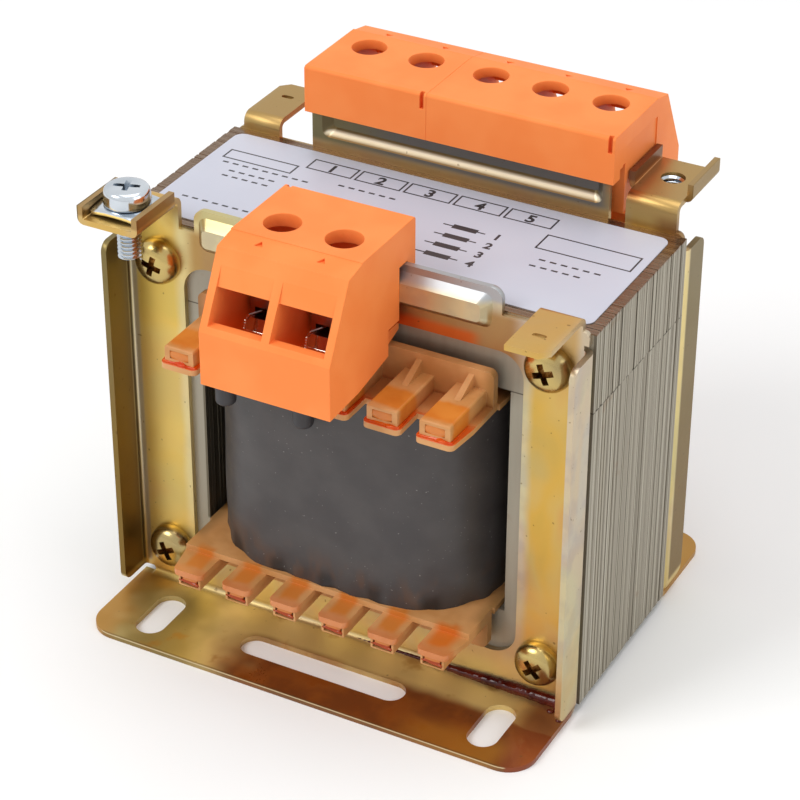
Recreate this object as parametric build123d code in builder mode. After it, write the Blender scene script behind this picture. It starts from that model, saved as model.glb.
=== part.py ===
"""Laminated chassis transformer with two pressed frames and clip-on screw terminals.

Millimetres. X runs to the right, Y to the back and Z up. The origin is on the mounting
surface, below the middle of the laminated core.
"""
import os
from build123d import *

os.makedirs("parts", exist_ok=True)

# Laminated core, an EI size without waste
leg_width = 14.0
centre_leg_width = 28.0
window_width = 14.0
window_height = 42.0
stack = 34.3
core_lift = 1.5
core_width = centre_leg_width + 2 * window_width + 2 * leg_width
core_height = window_height + 2 * leg_width
half_stack = stack / 2
core_top = core_lift + core_height
window_bottom = core_lift + leg_width
window_top = window_bottom + window_height

# Through bolts, one in each corner of the core
bolt_d = 4.0
bolt_hole_d = 4.5
bolt_x = (core_width - leg_width) / 2
bolt_low = core_lift + leg_width / 2
bolt_high = core_top - leg_width / 2
head_d = 8.0
head_height = 2.9
head_dome = 1.1
recess_width = 1.1
recess_span = 4.4
recess_depth = 1.5
recess_turns = (25, -15, 40, 20)
recess_taper = 8
nut_across_flats = 7.0
nut_height = 3.2
thread_clearance = 0.02
bolt_end = 2.0

# Pressed frame, one in front of the core and one behind it
sheet = 1.0
bend_inside = 1.3
flange_bend_inside = 0.6
frame_width = core_width
foot_length = 19.9
foot_inset = 0.6
foot_half_width = core_width / 2 - foot_inset
foot_corner_r = 5.0
foot_height = sheet
slot_width = 5.3
end_slot_length = 11.5
end_slot_inset = 9.8
end_slot_x = foot_half_width - end_slot_inset
end_slot_reach = 11.2
middle_slot_length = 31.0
middle_slot_width = 5.2
middle_slot_reach = 11.0
flange_reach = 7.45
flange_bottom = 2.4
flange_drop = 2.7
flange_top = core_top - flange_drop
flange_corner_r = 1.8
relief_depth = 3.0
relief_notch = 0.9
frame_window_margin = 2.6
frame_window_half = centre_leg_width / 2 + window_width + frame_window_margin
frame_sill = 6.2
frame_window_bottom = core_lift + frame_sill
frame_rail = 6.7
frame_window_top = core_top - frame_rail
frame_window_r = 4.5
neck_drop = 0.4
neck_top = core_top - neck_drop
shoulder_inset = 0.8
shoulder_half = core_width / 2 - shoulder_inset
shoulder_rise = 0.5
shoulder_top = core_top + shoulder_rise
shoulder_r = 1.2
rear_rise = 5.2

# Terminal carrier, the raised strip above the frame's window
carrier_left = -28.2
carrier_right = 26.6
carrier_rise = 4.0
carrier_top = core_top + carrier_rise
carrier_r = 2.0
pad_depth = 1.5
pad_left = -27.3
pad_right = 25.0
pad_height = 6.0
pad_margin = 1.2
pad_top = carrier_top - pad_margin
pad_bottom = pad_top - pad_height
pad_slope = 1.4
pad_back_inset = 0.3
pad_corner_r = 1.5

# Plain tab and earth tab, bent forward at the frame's top corners
tab_bend_inside = 0.8
plain_tab_rise = 3.0
plain_tab_top = core_top + plain_tab_rise
plain_tab_inset = 1.9
plain_tab_width = 7.0
plain_tab_outer = core_width / 2 - plain_tab_inset
plain_tab_inner = plain_tab_outer - plain_tab_width
plain_tab_reach = 13.6
plain_tab_chamfer = 1.5
dimple_x = (plain_tab_inner + plain_tab_outer) / 2
dimple_reach = 8.9
dimple_length = 2.3
dimple_width = 1.0
earth_tab_rise = 5.4
earth_tab_top = core_top + earth_tab_rise
earth_tab_inset = 0.9
earth_tab_width = 11.1
earth_tab_outer = core_width / 2 - earth_tab_inset
earth_tab_inner = earth_tab_outer - earth_tab_width
earth_neck_inset = 1.1
earth_tab_reach = 14.5
earth_lip_height = 2.2
earth_lip_length = 11.0
earth_lip_bend_inside = 0.15
earth_hole_x = (earth_tab_inner + earth_tab_outer) / 2
earth_hole_reach = 8.5
earth_hole_d = 4.0
earth_collar_d = 5.4
earth_collar_depth = 1.2

# Earth screw and its square cupped washer
earth_screw_head_d = 7.8
earth_screw_head_height = 3.0
earth_screw_length = 9.6
washer_side = 8.8
washer_sheet = 0.9
washer_cup = 0.5
washer_corner_r = 0.8
earth_recess_turn = 20

# Screw terminal blocks, with heights measured from the core's top
pole_pitch = 10.8
pole_margin = 6.0
chamber_width = 9.3
block_front_left = -13.0
rear_joint = 3.7
block_back = -2.7
block_back_r = 0.6
block_lip_bottom = 2.4
block_lip_clearance = 0.1
block_top = 10.7
block_top_edge = 14.2
plateau_step = 0.2
block_brow = (18.3, 9.7)
block_chin = (24.4, -2.3)
block_toe = (24.4, -11.6)
block_belly = (15.5, -11.3)
block_heel = (6.0, -9.8)
block_shelf = -5.15
tongue_inner = 0.4
tongue_top_clearance = 0.1
tongue_underside_rise = 1.7
tongue_inset_left = 4.8
tongue_inset_right = 1.2
entry_bottom = -1.3
entry_top = 4.1
entry_relief_top = 7.3
entry_relief_depth = 0.4
entry_lip = 0.5
chamber_bottom = -6.4
chamber_back = 4.6
chamber_wall = 2.2
chamber_brow = (17.0, 8.9)
chamber_roof = (12.0, 9.0)
chamber_back_roof = 8.2
driver_hole_d = 6.0
driver_hole_reach = 8.9
dent_reach = 15.8
dent_r = 0.8
dent_depth = 0.9
end_slit_inset = 0.85
end_slit_width = 0.7
end_slit_length = 0.9
end_slit_depth = 2.8
end_panel_back = 1.0
end_panel_front = 14.3
end_panel_bottom = -4.9
end_panel_top = 7.3
end_panel_depth = 0.25

# Metal inside each pole
clamp_width = 8.0
clamp_wall = 0.9
clamp_back = 5.2
clamp_front = 12.6
clamp_seat = 0.1
clamp_bottom = chamber_bottom + clamp_seat
clamp_top = 3.2
apron_bottom = -3.1
apron_sheet = 0.6
clamp_screw_d = 3.5
clamp_screw_head_d = 5.6
clamp_screw_head_top = 5.7
clamp_screw_tip = -0.6
driver_slot_width = 0.9
driver_slot_depth = 1.1
driver_slot_turn = 30
leaf_width = 5.4
leaf_sheet = 0.5
leaf_rise_start = 11.5
leaf_crest = (14.9, -3.5)
leaf_nose = (17.0, -4.6)
tail_width = 3.0
tail_sheet = 0.8
tail_reach = 11.4
tail_bottom = -12.5
tail_slot_clearance = 0.2

# Bobbin
bobbin_clearance = 0.3
bobbin_wall = 1.2
flange_side_clearance = 1.0
flange_half_width = centre_leg_width / 2 + window_width - flange_side_clearance
coil_rise = 1.2
coil_bottom = window_bottom + coil_rise
coil_drop = 2.9
coil_top = window_top - coil_drop
flange_sheet = 1.1
flange_front = 9.9
wall_front = 3.2
wall_back = 1.7
wall_inset = 0.4
wall_half_width = flange_half_width - wall_inset
wall_height = 6.2
wall_corner_r = 1.2
finger_count = 6
finger_margin = 4.25
finger_pitch = 2 * (flange_half_width - finger_margin) / (finger_count - 1)
pocket_width = 5.3
pocket_height = 2.9
pocket_reach = 15.3
pocket_mouth_width = 3.4
pocket_mouth_height = 1.5
pocket_depth = 9.0
pocket_edge_r = 0.4
lip_margin = 0.6
lip_corner_r = 1.0
rib_width = 1.0
rib_length = 5.2
rib_height = 2.4
low_pocket_width = 4.2
low_pocket_height = 2.4
low_lip_step = 1.0

# Windings, wound round the bobbin's tube
tape_inset = 1.6
tape_half_width = flange_half_width - tape_inset
tape_front_inset = 0.3
tape_front = flange_front - tape_front_inset
tape_r = 15.5
tape_thickness = 0.6
insulation_thickness = 0.5
primary_build = 4.8
primary_half_width = centre_leg_width / 2 + bobbin_clearance + bobbin_wall + primary_build
primary_front = 5.4
primary_r = 7.0
sleeve_d = 3.4
sleeve_x = (-16.8, -2.6)
sleeve_length = 6.4

# Rating label, bare, on the top yoke
label_side_margin = 2.0
label_half_width = core_width / 2 - label_side_margin
label_front_margin = 1.8
label_back_margin = 1.8
label_thickness = 0.12
label_r = 1.8


def front_y(reach):
    """The Y of a point that stands this far in front of the core."""
    return -half_stack - reach


def face_plane(reach):
    """A plane parallel to the core's front face, this far in front of it, facing forward."""
    return Plane.XZ.offset(half_stack + reach)


def bent_strip(plane, corner, along, across, inside_radius):
    """The section of a sheet bent once at right angles, drawn from its outer corner."""
    u, v = corner
    step_u = sheet if along > 0 else -sheet
    step_v = sheet if across > 0 else -sheet
    with BuildSketch(plane) as section:
        with BuildLine():
            Polyline(
                (u, v),
                (u + along, v),
                (u + along, v + step_v),
                (u + step_u, v + step_v),
                (u + step_u, v + across),
                (u, v + across),
                close=True,
            )
        make_face()
        fillet(section.vertices().sort_by_distance((u, v))[0], inside_radius + sheet)
        inner_corner = section.vertices().sort_by_distance((u + step_u, v + step_v))[0]
        fillet(inner_corner, inside_radius)
    return section.sketch


def bolt_points():
    """The four bolt positions in the front view."""
    return [(x, z) for x in (-bolt_x, bolt_x) for z in (bolt_low, bolt_high)]


def rounded_ring(plane, half_x, half_y, radius):
    """A rounded rectangle centred on the core's vertical axis."""
    with BuildSketch(plane) as ring:
        RectangleRounded(2 * half_x, 2 * half_y, radius)
    return ring.sketch


# Frame sections

def frame_plate(rise):
    """The frame's upright plate in the front view, with its window and bolt holes."""
    bend_edge = frame_width / 2 - flange_bend_inside - sheet
    plate_bottom = foot_height + bend_inside
    window_high = frame_window_top + rise
    carrier_foot = neck_top - sheet
    with BuildSketch(face_plane(0)) as plate:
        with Locations((0, plate_bottom)):
            Rectangle(2 * bend_edge, neck_top - plate_bottom, align=(Align.CENTER, Align.MIN))
        for side in (-1, 1):
            shoulder_bottom = flange_top + relief_notch
            with Locations((side * (shoulder_half + plain_tab_inner) / 2, shoulder_bottom)):
                width = shoulder_half - plain_tab_inner
                Rectangle(width, shoulder_top - shoulder_bottom, align=(Align.CENTER, Align.MIN))
        with Locations(((carrier_left + carrier_right) / 2, carrier_foot)):
            height = carrier_top + rise - carrier_foot
            Rectangle(carrier_right - carrier_left, height, align=(Align.CENTER, Align.MIN))
        high_corners = plate.vertices().group_by(Axis.Y)[-1]
        fillet(high_corners, carrier_r)
        with Locations((0, (frame_window_bottom + window_high) / 2)):
            RectangleRounded(
                2 * frame_window_half,
                window_high - frame_window_bottom,
                frame_window_r,
                mode=Mode.SUBTRACT,
            )
        with Locations(*bolt_points()):
            Circle(bolt_hole_d / 2, mode=Mode.SUBTRACT)
    return plate.sketch


def pad_section(reach, inset, rise):
    """One section of the raised pad on the carrier."""
    width = pad_right - pad_left - 2 * inset
    height = pad_top - pad_bottom - 2 * inset
    with BuildSketch(face_plane(reach)) as section:
        with Locations(((pad_left + pad_right) / 2, (pad_bottom + pad_top) / 2 + rise)):
            RectangleRounded(width, height, pad_corner_r - inset / 2)
    return section.sketch


def pad_solid(reach, inset, rise):
    """The raised pad, or the recess behind it."""
    with BuildPart() as pad:
        loft([pad_section(reach, inset, rise), pad_section(reach + pad_depth, inset + pad_slope, rise)])
    return pad.part


def tab_blank(left, right, top, reach, inside_radius):
    """A tab bent forward from the plate, from its bend to its front edge."""
    drop = top - neck_top + 2 * sheet
    with BuildPart() as tab:
        strip = bent_strip(Plane.YZ.offset(left), (front_y(0), top), -reach, -drop, inside_radius)
        extrude(strip, amount=right - left)
    return tab.part


def earth_lip_blank(edge_x, inward, lip_y):
    """The corner of the flat earth tab that gives way to a turned-up side."""
    side = Align.MIN if inward > 0 else Align.MAX
    with BuildPart() as blank:
        with Locations((edge_x, lip_y, earth_tab_top)):
            Box(sheet + earth_lip_bend_inside, earth_lip_length, 3 * sheet,
                align=(side, Align.MAX, Align.CENTER))
    return blank.part


def earth_tab(left, right):
    """The earth tab with its turned-up sides and its tapped hole."""
    lip_y = front_y(earth_tab_reach - earth_lip_length)
    neck_left = left + earth_neck_inset
    neck_right = right - earth_neck_inset
    hole = (-earth_hole_x, front_y(earth_hole_reach))
    with BuildPart() as tab:
        add(tab_blank(neck_left, neck_right, earth_tab_top, earth_tab_reach, tab_bend_inside))
        for edge_x, inward in ((left, 1), (right, -1)):
            lip = bent_strip(
                Plane.XZ.offset(-lip_y),
                (edge_x, earth_tab_top - sheet),
                inward * 2 * sheet,
                earth_lip_height + sheet,
                earth_lip_bend_inside,
            )
            add(earth_lip_blank(edge_x, inward, lip_y), mode=Mode.SUBTRACT)
            extrude(lip, amount=earth_lip_length)
        with BuildSketch(Plane.XY.offset(earth_tab_top - sheet)):
            with Locations(hole):
                Circle(earth_collar_d / 2)
        extrude(amount=-earth_collar_depth)
        with Locations((*hole, earth_tab_top)):
            Hole(earth_hole_d / 2 + thread_clearance, depth=3 * sheet)
    return tab.part


def plain_tab():
    """The plain tab with its cut corner and its small slot."""
    with BuildPart() as tab:
        add(tab_blank(plain_tab_inner, plain_tab_outer, plain_tab_top, plain_tab_reach, tab_bend_inside))
        outer_corner = tab.edges().filter_by(Axis.Z).group_by(Axis.Y)[0].sort_by(Axis.X)[-1]
        chamfer(outer_corner, plain_tab_chamfer)
        with BuildSketch(Plane.XY.offset(plain_tab_top)):
            with Locations((dimple_x, front_y(dimple_reach))):
                SlotOverall(dimple_length, dimple_width)
        extrude(amount=-2 * sheet, mode=Mode.SUBTRACT)
    return tab.part


def side_flange(side):
    """The flange bent forward at one side of the frame."""
    section = bent_strip(
        Plane.XY.offset(flange_bottom),
        (side * frame_width / 2, front_y(0)),
        -side * 2 * (sheet + flange_bend_inside),
        -flange_reach,
        flange_bend_inside,
    )
    with BuildPart() as flange:
        extrude(section, amount=flange_top - flange_bottom)
        corners = flange.edges().filter_by(Axis.X).group_by(Axis.Y)[0]
        fillet(corners, flange_corner_r)
    return flange.part


def chassis_frame(rise):
    """One pressed frame as it sits in front of the core, its carrier raised by rise."""
    foot_span = 2 * foot_half_width
    upright = foot_height + bend_inside + sheet
    with BuildPart() as frame:
        extrude(frame_plate(rise), amount=sheet)
        for side in (0, -1):
            shoulder_edge = frame.edges().filter_by(Axis.Y).group_by(Axis.X)[side].sort_by(Axis.Z)[-1]
            fillet(shoulder_edge, shoulder_r)

        # Raised pad on the carrier
        add(pad_solid(sheet, 0, rise))
        add(pad_solid(0, pad_back_inset, rise), mode=Mode.SUBTRACT)

        # Foot
        foot_end = Plane.YZ.offset(-foot_half_width)
        foot = bent_strip(foot_end, (front_y(0), 0), -foot_length, upright, bend_inside)
        extrude(foot, amount=foot_span)
        toe = frame.edges().filter_by(Axis.Z).group_by(Axis.Y)[0]
        fillet(toe, foot_corner_r)

        # Side flanges with a relief slit above the foot
        for side in (-1, 1):
            add(side_flange(side))
            with BuildSketch(face_plane(-sheet)) as slit:
                slit_height = flange_bottom - foot_height
                with Locations((side * frame_width / 2, (flange_bottom + foot_height) / 2)):
                    SlotOverall(2 * relief_depth, slit_height)
            extrude(slit.sketch, amount=flange_reach, mode=Mode.SUBTRACT)

        # Tabs
        add(plain_tab())
        add(earth_tab(-earth_tab_outer, -earth_tab_inner))

        # Mounting slots
        with BuildSketch(Plane.XY):
            with Locations((-end_slot_x, front_y(end_slot_reach)), (end_slot_x, front_y(end_slot_reach))):
                SlotOverall(end_slot_length, slot_width, rotation=90)
            with Locations((0, front_y(middle_slot_reach))):
                SlotOverall(middle_slot_length, middle_slot_width)
        extrude(amount=foot_height, mode=Mode.SUBTRACT)
    return frame.part


with BuildPart() as front_frame:
    add(chassis_frame(0))
front_frame.part.label = "front_frame"
export_step(front_frame.part, "parts/front_frame.step")

with BuildPart() as rear_frame:
    add(chassis_frame(rear_rise), rotation=(0, 0, 180))
rear_frame.part.label = "rear_frame"
export_step(rear_frame.part, "parts/rear_frame.step")


# Core stacks

with BuildPart() as e_lamination_stack:
    with BuildSketch(face_plane(0)):
        with Locations((0, core_lift)):
            Rectangle(core_width, leg_width + window_height, align=(Align.CENTER, Align.MIN))
        window_x = (centre_leg_width + window_width) / 2
        with Locations((-window_x, window_bottom), (window_x, window_bottom)):
            Rectangle(window_width, window_height, align=(Align.CENTER, Align.MIN), mode=Mode.SUBTRACT)
        with Locations((-bolt_x, bolt_low), (bolt_x, bolt_low)):
            Circle(bolt_hole_d / 2, mode=Mode.SUBTRACT)
    extrude(amount=-stack)
e_lamination_stack.part.label = "e_lamination_stack"
export_step(e_lamination_stack.part, "parts/e_lamination_stack.step")

with BuildPart() as i_lamination_stack:
    with BuildSketch(face_plane(0)):
        with Locations((0, window_top)):
            Rectangle(core_width, leg_width, align=(Align.CENTER, Align.MIN))
        with Locations((-bolt_x, bolt_high), (bolt_x, bolt_high)):
            Circle(bolt_hole_d / 2, mode=Mode.SUBTRACT)
    extrude(amount=-stack)
i_lamination_stack.part.label = "i_lamination_stack"
export_step(i_lamination_stack.part, "parts/i_lamination_stack.step")


# Bobbin

def finger_xs():
    """The middles of the bobbin's pockets, evenly spaced about the coil's axis."""
    first = -(finger_count - 1) / 2 * finger_pitch
    return [first + index * finger_pitch for index in range(finger_count)]


def lip_outline(x, half_width):
    """The corners of a pocket's lip, whose outermost sides run back to the wall's ends."""
    left_root = -wall_half_width if x == min(finger_xs()) else x - half_width
    right_root = wall_half_width if x == max(finger_xs()) else x + half_width
    return [
        (left_root, front_y(wall_back)),
        (right_root, front_y(wall_back)),
        (right_root, front_y(flange_front)),
        (x + half_width, front_y(pocket_reach + lip_margin)),
        (x - half_width, front_y(pocket_reach + lip_margin)),
        (left_root, front_y(flange_front)),
    ]


def pocket(x, floor, up, width, height):
    """A hollow lead pocket with its lip, standing on the flange's outer side."""
    with BuildPart() as body:
        with BuildSketch(Plane.XY.offset(floor)):
            with Locations((x, front_y(wall_back))):
                Rectangle(width, pocket_reach - wall_back, align=(Align.CENTER, Align.MAX))
        extrude(amount=up * height)
        fillet(body.faces().sort_by(Axis.Z)[-1 if up > 0 else 0].edges(), pocket_edge_r)
        with BuildSketch(Plane.XY.offset(floor)) as lip:
            with BuildLine():
                Polyline(*lip_outline(x, width / 2 + lip_margin), close=True)
            make_face()
            fillet(lip.vertices().group_by(Axis.Y)[0], lip_corner_r)
        extrude(amount=-up * flange_sheet)
        mouth_low = (height - pocket_mouth_height) / 2 * up
        with BuildSketch(face_plane(pocket_reach)):
            with Locations((x, floor + mouth_low + up * pocket_mouth_height / 2)):
                Rectangle(pocket_mouth_width, pocket_mouth_height)
        extrude(amount=-pocket_depth, mode=Mode.SUBTRACT)
    return body.part


def root_rib(x, level):
    """The wedge that braces a pocket against the flange's upright wall."""
    with BuildPart() as rib:
        with BuildSketch(Plane.YZ.offset(x - rib_width / 2)):
            with BuildLine():
                Polyline(
                    (front_y(wall_front), level),
                    (front_y(wall_front + rib_length), level),
                    (front_y(wall_front), level + rib_height),
                    close=True,
                )
            make_face()
        extrude(amount=rib_width)
    return rib.part


def flange_front_half(inner, up, width, height, lip_step):
    """What stands in front of the core at one end of the bobbin: wall, pockets and ribs."""
    outer = inner + up * (flange_sheet + lip_step)
    with BuildPart() as half:
        with BuildSketch(face_plane(wall_back)) as wall:
            with Locations((0, inner + up * (flange_sheet + wall_height) / 2)):
                Rectangle(2 * wall_half_width, flange_sheet + wall_height)
            far_corners = wall.vertices().sort_by(Axis.Y)
            fillet(far_corners[2:] if up > 0 else far_corners[:2], wall_corner_r)
        extrude(amount=wall_front - wall_back)
        for x in finger_xs():
            add(pocket(x, outer, up, width, height))
        if up > 0:
            for x in finger_xs():
                add(root_rib(x, outer + height - pocket_edge_r / 2))
    return half.part


with BuildPart() as bobbin:
    inner_x = centre_leg_width / 2 + bobbin_clearance
    inner_y = half_stack + bobbin_clearance
    tube_bottom = coil_bottom - flange_sheet
    with BuildSketch(Plane.XY.offset(tube_bottom)):
        Rectangle(2 * (inner_x + bobbin_wall), 2 * (inner_y + bobbin_wall))
        Rectangle(2 * inner_x, 2 * inner_y, mode=Mode.SUBTRACT)
    extrude(amount=window_top - bobbin_clearance - tube_bottom)
    for level in (tube_bottom, coil_top):
        with BuildSketch(Plane.XY.offset(level)):
            Rectangle(2 * flange_half_width, 2 * (half_stack + wall_back))
            Rectangle(2 * wall_half_width, 2 * (half_stack + flange_front))
            Rectangle(2 * inner_x, 2 * inner_y, mode=Mode.SUBTRACT)
        extrude(amount=flange_sheet)
    top_half = flange_front_half(coil_top, 1, pocket_width, pocket_height, 0)
    low_half = flange_front_half(coil_bottom, -1, low_pocket_width, low_pocket_height, low_lip_step)
    for turn in (0, 180):
        add(top_half, rotation=(0, 0, turn))
        add(low_half, rotation=(0, 0, turn))
bobbin.part.label = "bobbin"
export_step(bobbin.part, "parts/bobbin.step")


# Windings and their wrapping

def winding_layer(inner, outer):
    """A closed layer round the bobbin between two rounded outlines."""
    floor = Plane.XY.offset(coil_bottom)
    height = coil_top - coil_bottom
    with BuildPart() as layer:
        extrude(rounded_ring(floor, *outer), amount=height)
        extrude(rounded_ring(floor, *inner), amount=height, mode=Mode.SUBTRACT)
    return layer.part


def inset_outline(outline, amount):
    """The outline that lies this far inside another."""
    half_x, half_y, radius = outline
    return (half_x - amount, half_y - amount, radius - amount)


tube_outline = (
    centre_leg_width / 2 + bobbin_clearance + bobbin_wall,
    half_stack + bobbin_clearance + bobbin_wall,
    0.01,
)
primary_outline = (primary_half_width, half_stack + primary_front, primary_r)
insulation_outline = inset_outline(primary_outline, -insulation_thickness)
tape_outline = (tape_half_width, half_stack + tape_front, tape_r)
secondary_outline = inset_outline(tape_outline, tape_thickness)

with BuildPart() as primary_winding:
    add(winding_layer(tube_outline, primary_outline))
primary_winding.part.label = "primary_winding"
export_step(primary_winding.part, "parts/primary_winding.step")

with BuildPart() as winding_insulation:
    add(winding_layer(primary_outline, insulation_outline))
winding_insulation.part.label = "winding_insulation"
export_step(winding_insulation.part, "parts/winding_insulation.step")

with BuildPart() as secondary_winding:
    add(winding_layer(insulation_outline, secondary_outline))
secondary_winding.part.label = "secondary_winding"
export_step(secondary_winding.part, "parts/secondary_winding.step")

with BuildPart() as outer_tape:
    add(winding_layer(secondary_outline, tape_outline))
outer_tape.part.label = "outer_tape"
export_step(outer_tape.part, "parts/outer_tape.step")

with BuildPart() as lead_sleeves:
    with BuildSketch(Plane.XY.offset(coil_top)):
        with Locations(*[(x, front_y(tape_front + sleeve_d / 2)) for x in sleeve_x]):
            Circle(sleeve_d / 2)
    extrude(amount=-sleeve_length)
    fillet(lead_sleeves.faces().group_by(Axis.Z)[0].edges(), sleeve_d / 4)
lead_sleeves.part.label = "lead_sleeves"
export_step(lead_sleeves.part, "parts/lead_sleeves.step")


# Frame screws and nuts

def cross_recess(seat, turn):
    """The cross-shaped recess in a screw head, cut from this plane inwards."""
    with BuildPart() as cross:
        with BuildSketch(seat):
            Rectangle(recess_span, recess_width, rotation=turn)
            Rectangle(recess_width, recess_span, rotation=turn)
        extrude(amount=-recess_depth, taper=recess_taper)
    return cross.part


def frame_screw(x, z, turn):
    """One pan head screw through both frames and the core."""
    axis = Plane(origin=(x, front_y(sheet), z), x_dir=(1, 0, 0), z_dir=(0, -1, 0))
    with BuildPart() as screw:
        with BuildSketch(axis):
            Circle(head_d / 2)
        extrude(amount=head_height)
        fillet(screw.faces().sort_by(Axis.Y)[0].edges(), head_dome)
        with BuildSketch(axis):
            Circle(bolt_d / 2)
        extrude(amount=-(stack + 2 * sheet + nut_height + bolt_end))
        add(cross_recess(axis.offset(head_height), turn), mode=Mode.SUBTRACT)
    return screw.part


with BuildPart() as frame_screws:
    for (x, z), turn in zip(bolt_points(), recess_turns):
        add(frame_screw(x, z, turn))
frame_screws.part.label = "frame_screws"
export_step(frame_screws.part, "parts/frame_screws.step")

with BuildPart() as frame_nuts:
    with BuildSketch(face_plane(-stack - sheet)):
        with Locations(*bolt_points()):
            RegularPolygon(nut_across_flats / 2, 6, major_radius=False)
            Circle(bolt_d / 2 + thread_clearance, mode=Mode.SUBTRACT)
    extrude(amount=-nut_height)
frame_nuts.part.label = "frame_nuts"
export_step(frame_nuts.part, "parts/frame_nuts.step")


# Earth screw and washer

earth_axis = (-earth_hole_x, front_y(earth_hole_reach))
washer_top = earth_tab_top + washer_sheet + washer_cup

with BuildPart() as earth_washer:
    with BuildSketch(Plane.XY.offset(earth_tab_top)):
        with Locations(earth_axis):
            Rectangle(washer_side, washer_side)
    extrude(amount=washer_sheet + washer_cup)
    with BuildSketch(Plane.XY.offset(washer_top)):
        with Locations(earth_axis):
            Circle(washer_side / 2 - washer_sheet)
    extrude(amount=-washer_cup, mode=Mode.SUBTRACT)
    with BuildSketch(Plane.XY.offset(earth_tab_top)):
        with Locations(earth_axis):
            Circle(bolt_hole_d / 2)
    extrude(amount=washer_sheet + washer_cup, mode=Mode.SUBTRACT)
    fillet(earth_washer.edges().filter_by(Axis.Z), washer_corner_r)
earth_washer.part.label = "earth_washer"
export_step(earth_washer.part, "parts/earth_washer.step")

with BuildPart() as earth_screw:
    head_seat = Plane(origin=(*earth_axis, washer_top - washer_cup), z_dir=(0, 0, 1))
    with BuildSketch(head_seat):
        Circle(earth_screw_head_d / 2 - washer_sheet)
    extrude(amount=washer_cup)
    with BuildSketch(head_seat.offset(washer_cup)):
        Circle(earth_screw_head_d / 2)
    extrude(amount=earth_screw_head_height)
    fillet(earth_screw.faces().sort_by(Axis.Z)[-1].edges(), head_dome)
    with BuildSketch(head_seat):
        Circle(earth_hole_d / 2)
    extrude(amount=-(earth_screw_length - washer_cup))
    crown = head_seat.offset(washer_cup + earth_screw_head_height)
    add(cross_recess(crown, earth_recess_turn), mode=Mode.SUBTRACT)
earth_screw.part.label = "earth_screw"
export_step(earth_screw.part, "parts/earth_screw.step")


# Terminal blocks

def pole_xs(left, poles):
    """The middles of a block's poles."""
    return [left + pole_margin + index * pole_pitch for index in range(poles)]


def block_width(poles):
    """The width of a block with this many poles."""
    return 2 * pole_margin + (poles - 1) * pole_pitch


def level(height):
    """A height above the core's top as a height above the mounting surface."""
    return core_top + height


def side_view(corners):
    """Corners given as reach and height, as points of a plane parallel to YZ."""
    return [(front_y(reach), level(height)) for reach, height in corners]


def face_reach(height):
    """How far the block's sloped front face stands out at this height."""
    share = (height - block_chin[1]) / (block_brow[1] - block_chin[1])
    return block_chin[0] + share * (block_brow[0] - block_chin[0])


def chamber_outline():
    """The hollow of one pole in side view: chamber, wire entry and the relief above the entry."""
    lip_reach = face_reach(entry_top) - entry_relief_depth
    outside = block_chin[0] + sheet
    front_wall = block_chin[0] - chamber_wall
    return [
        (chamber_back, chamber_bottom),
        (front_wall, chamber_bottom),
        (front_wall, entry_bottom),
        (outside, entry_bottom),
        (outside, entry_top),
        (face_reach(entry_relief_top), entry_relief_top),
        (lip_reach, entry_top),
        (lip_reach - entry_lip, entry_top),
        chamber_brow,
        chamber_roof,
        (chamber_back, chamber_back_roof),
    ]


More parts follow.
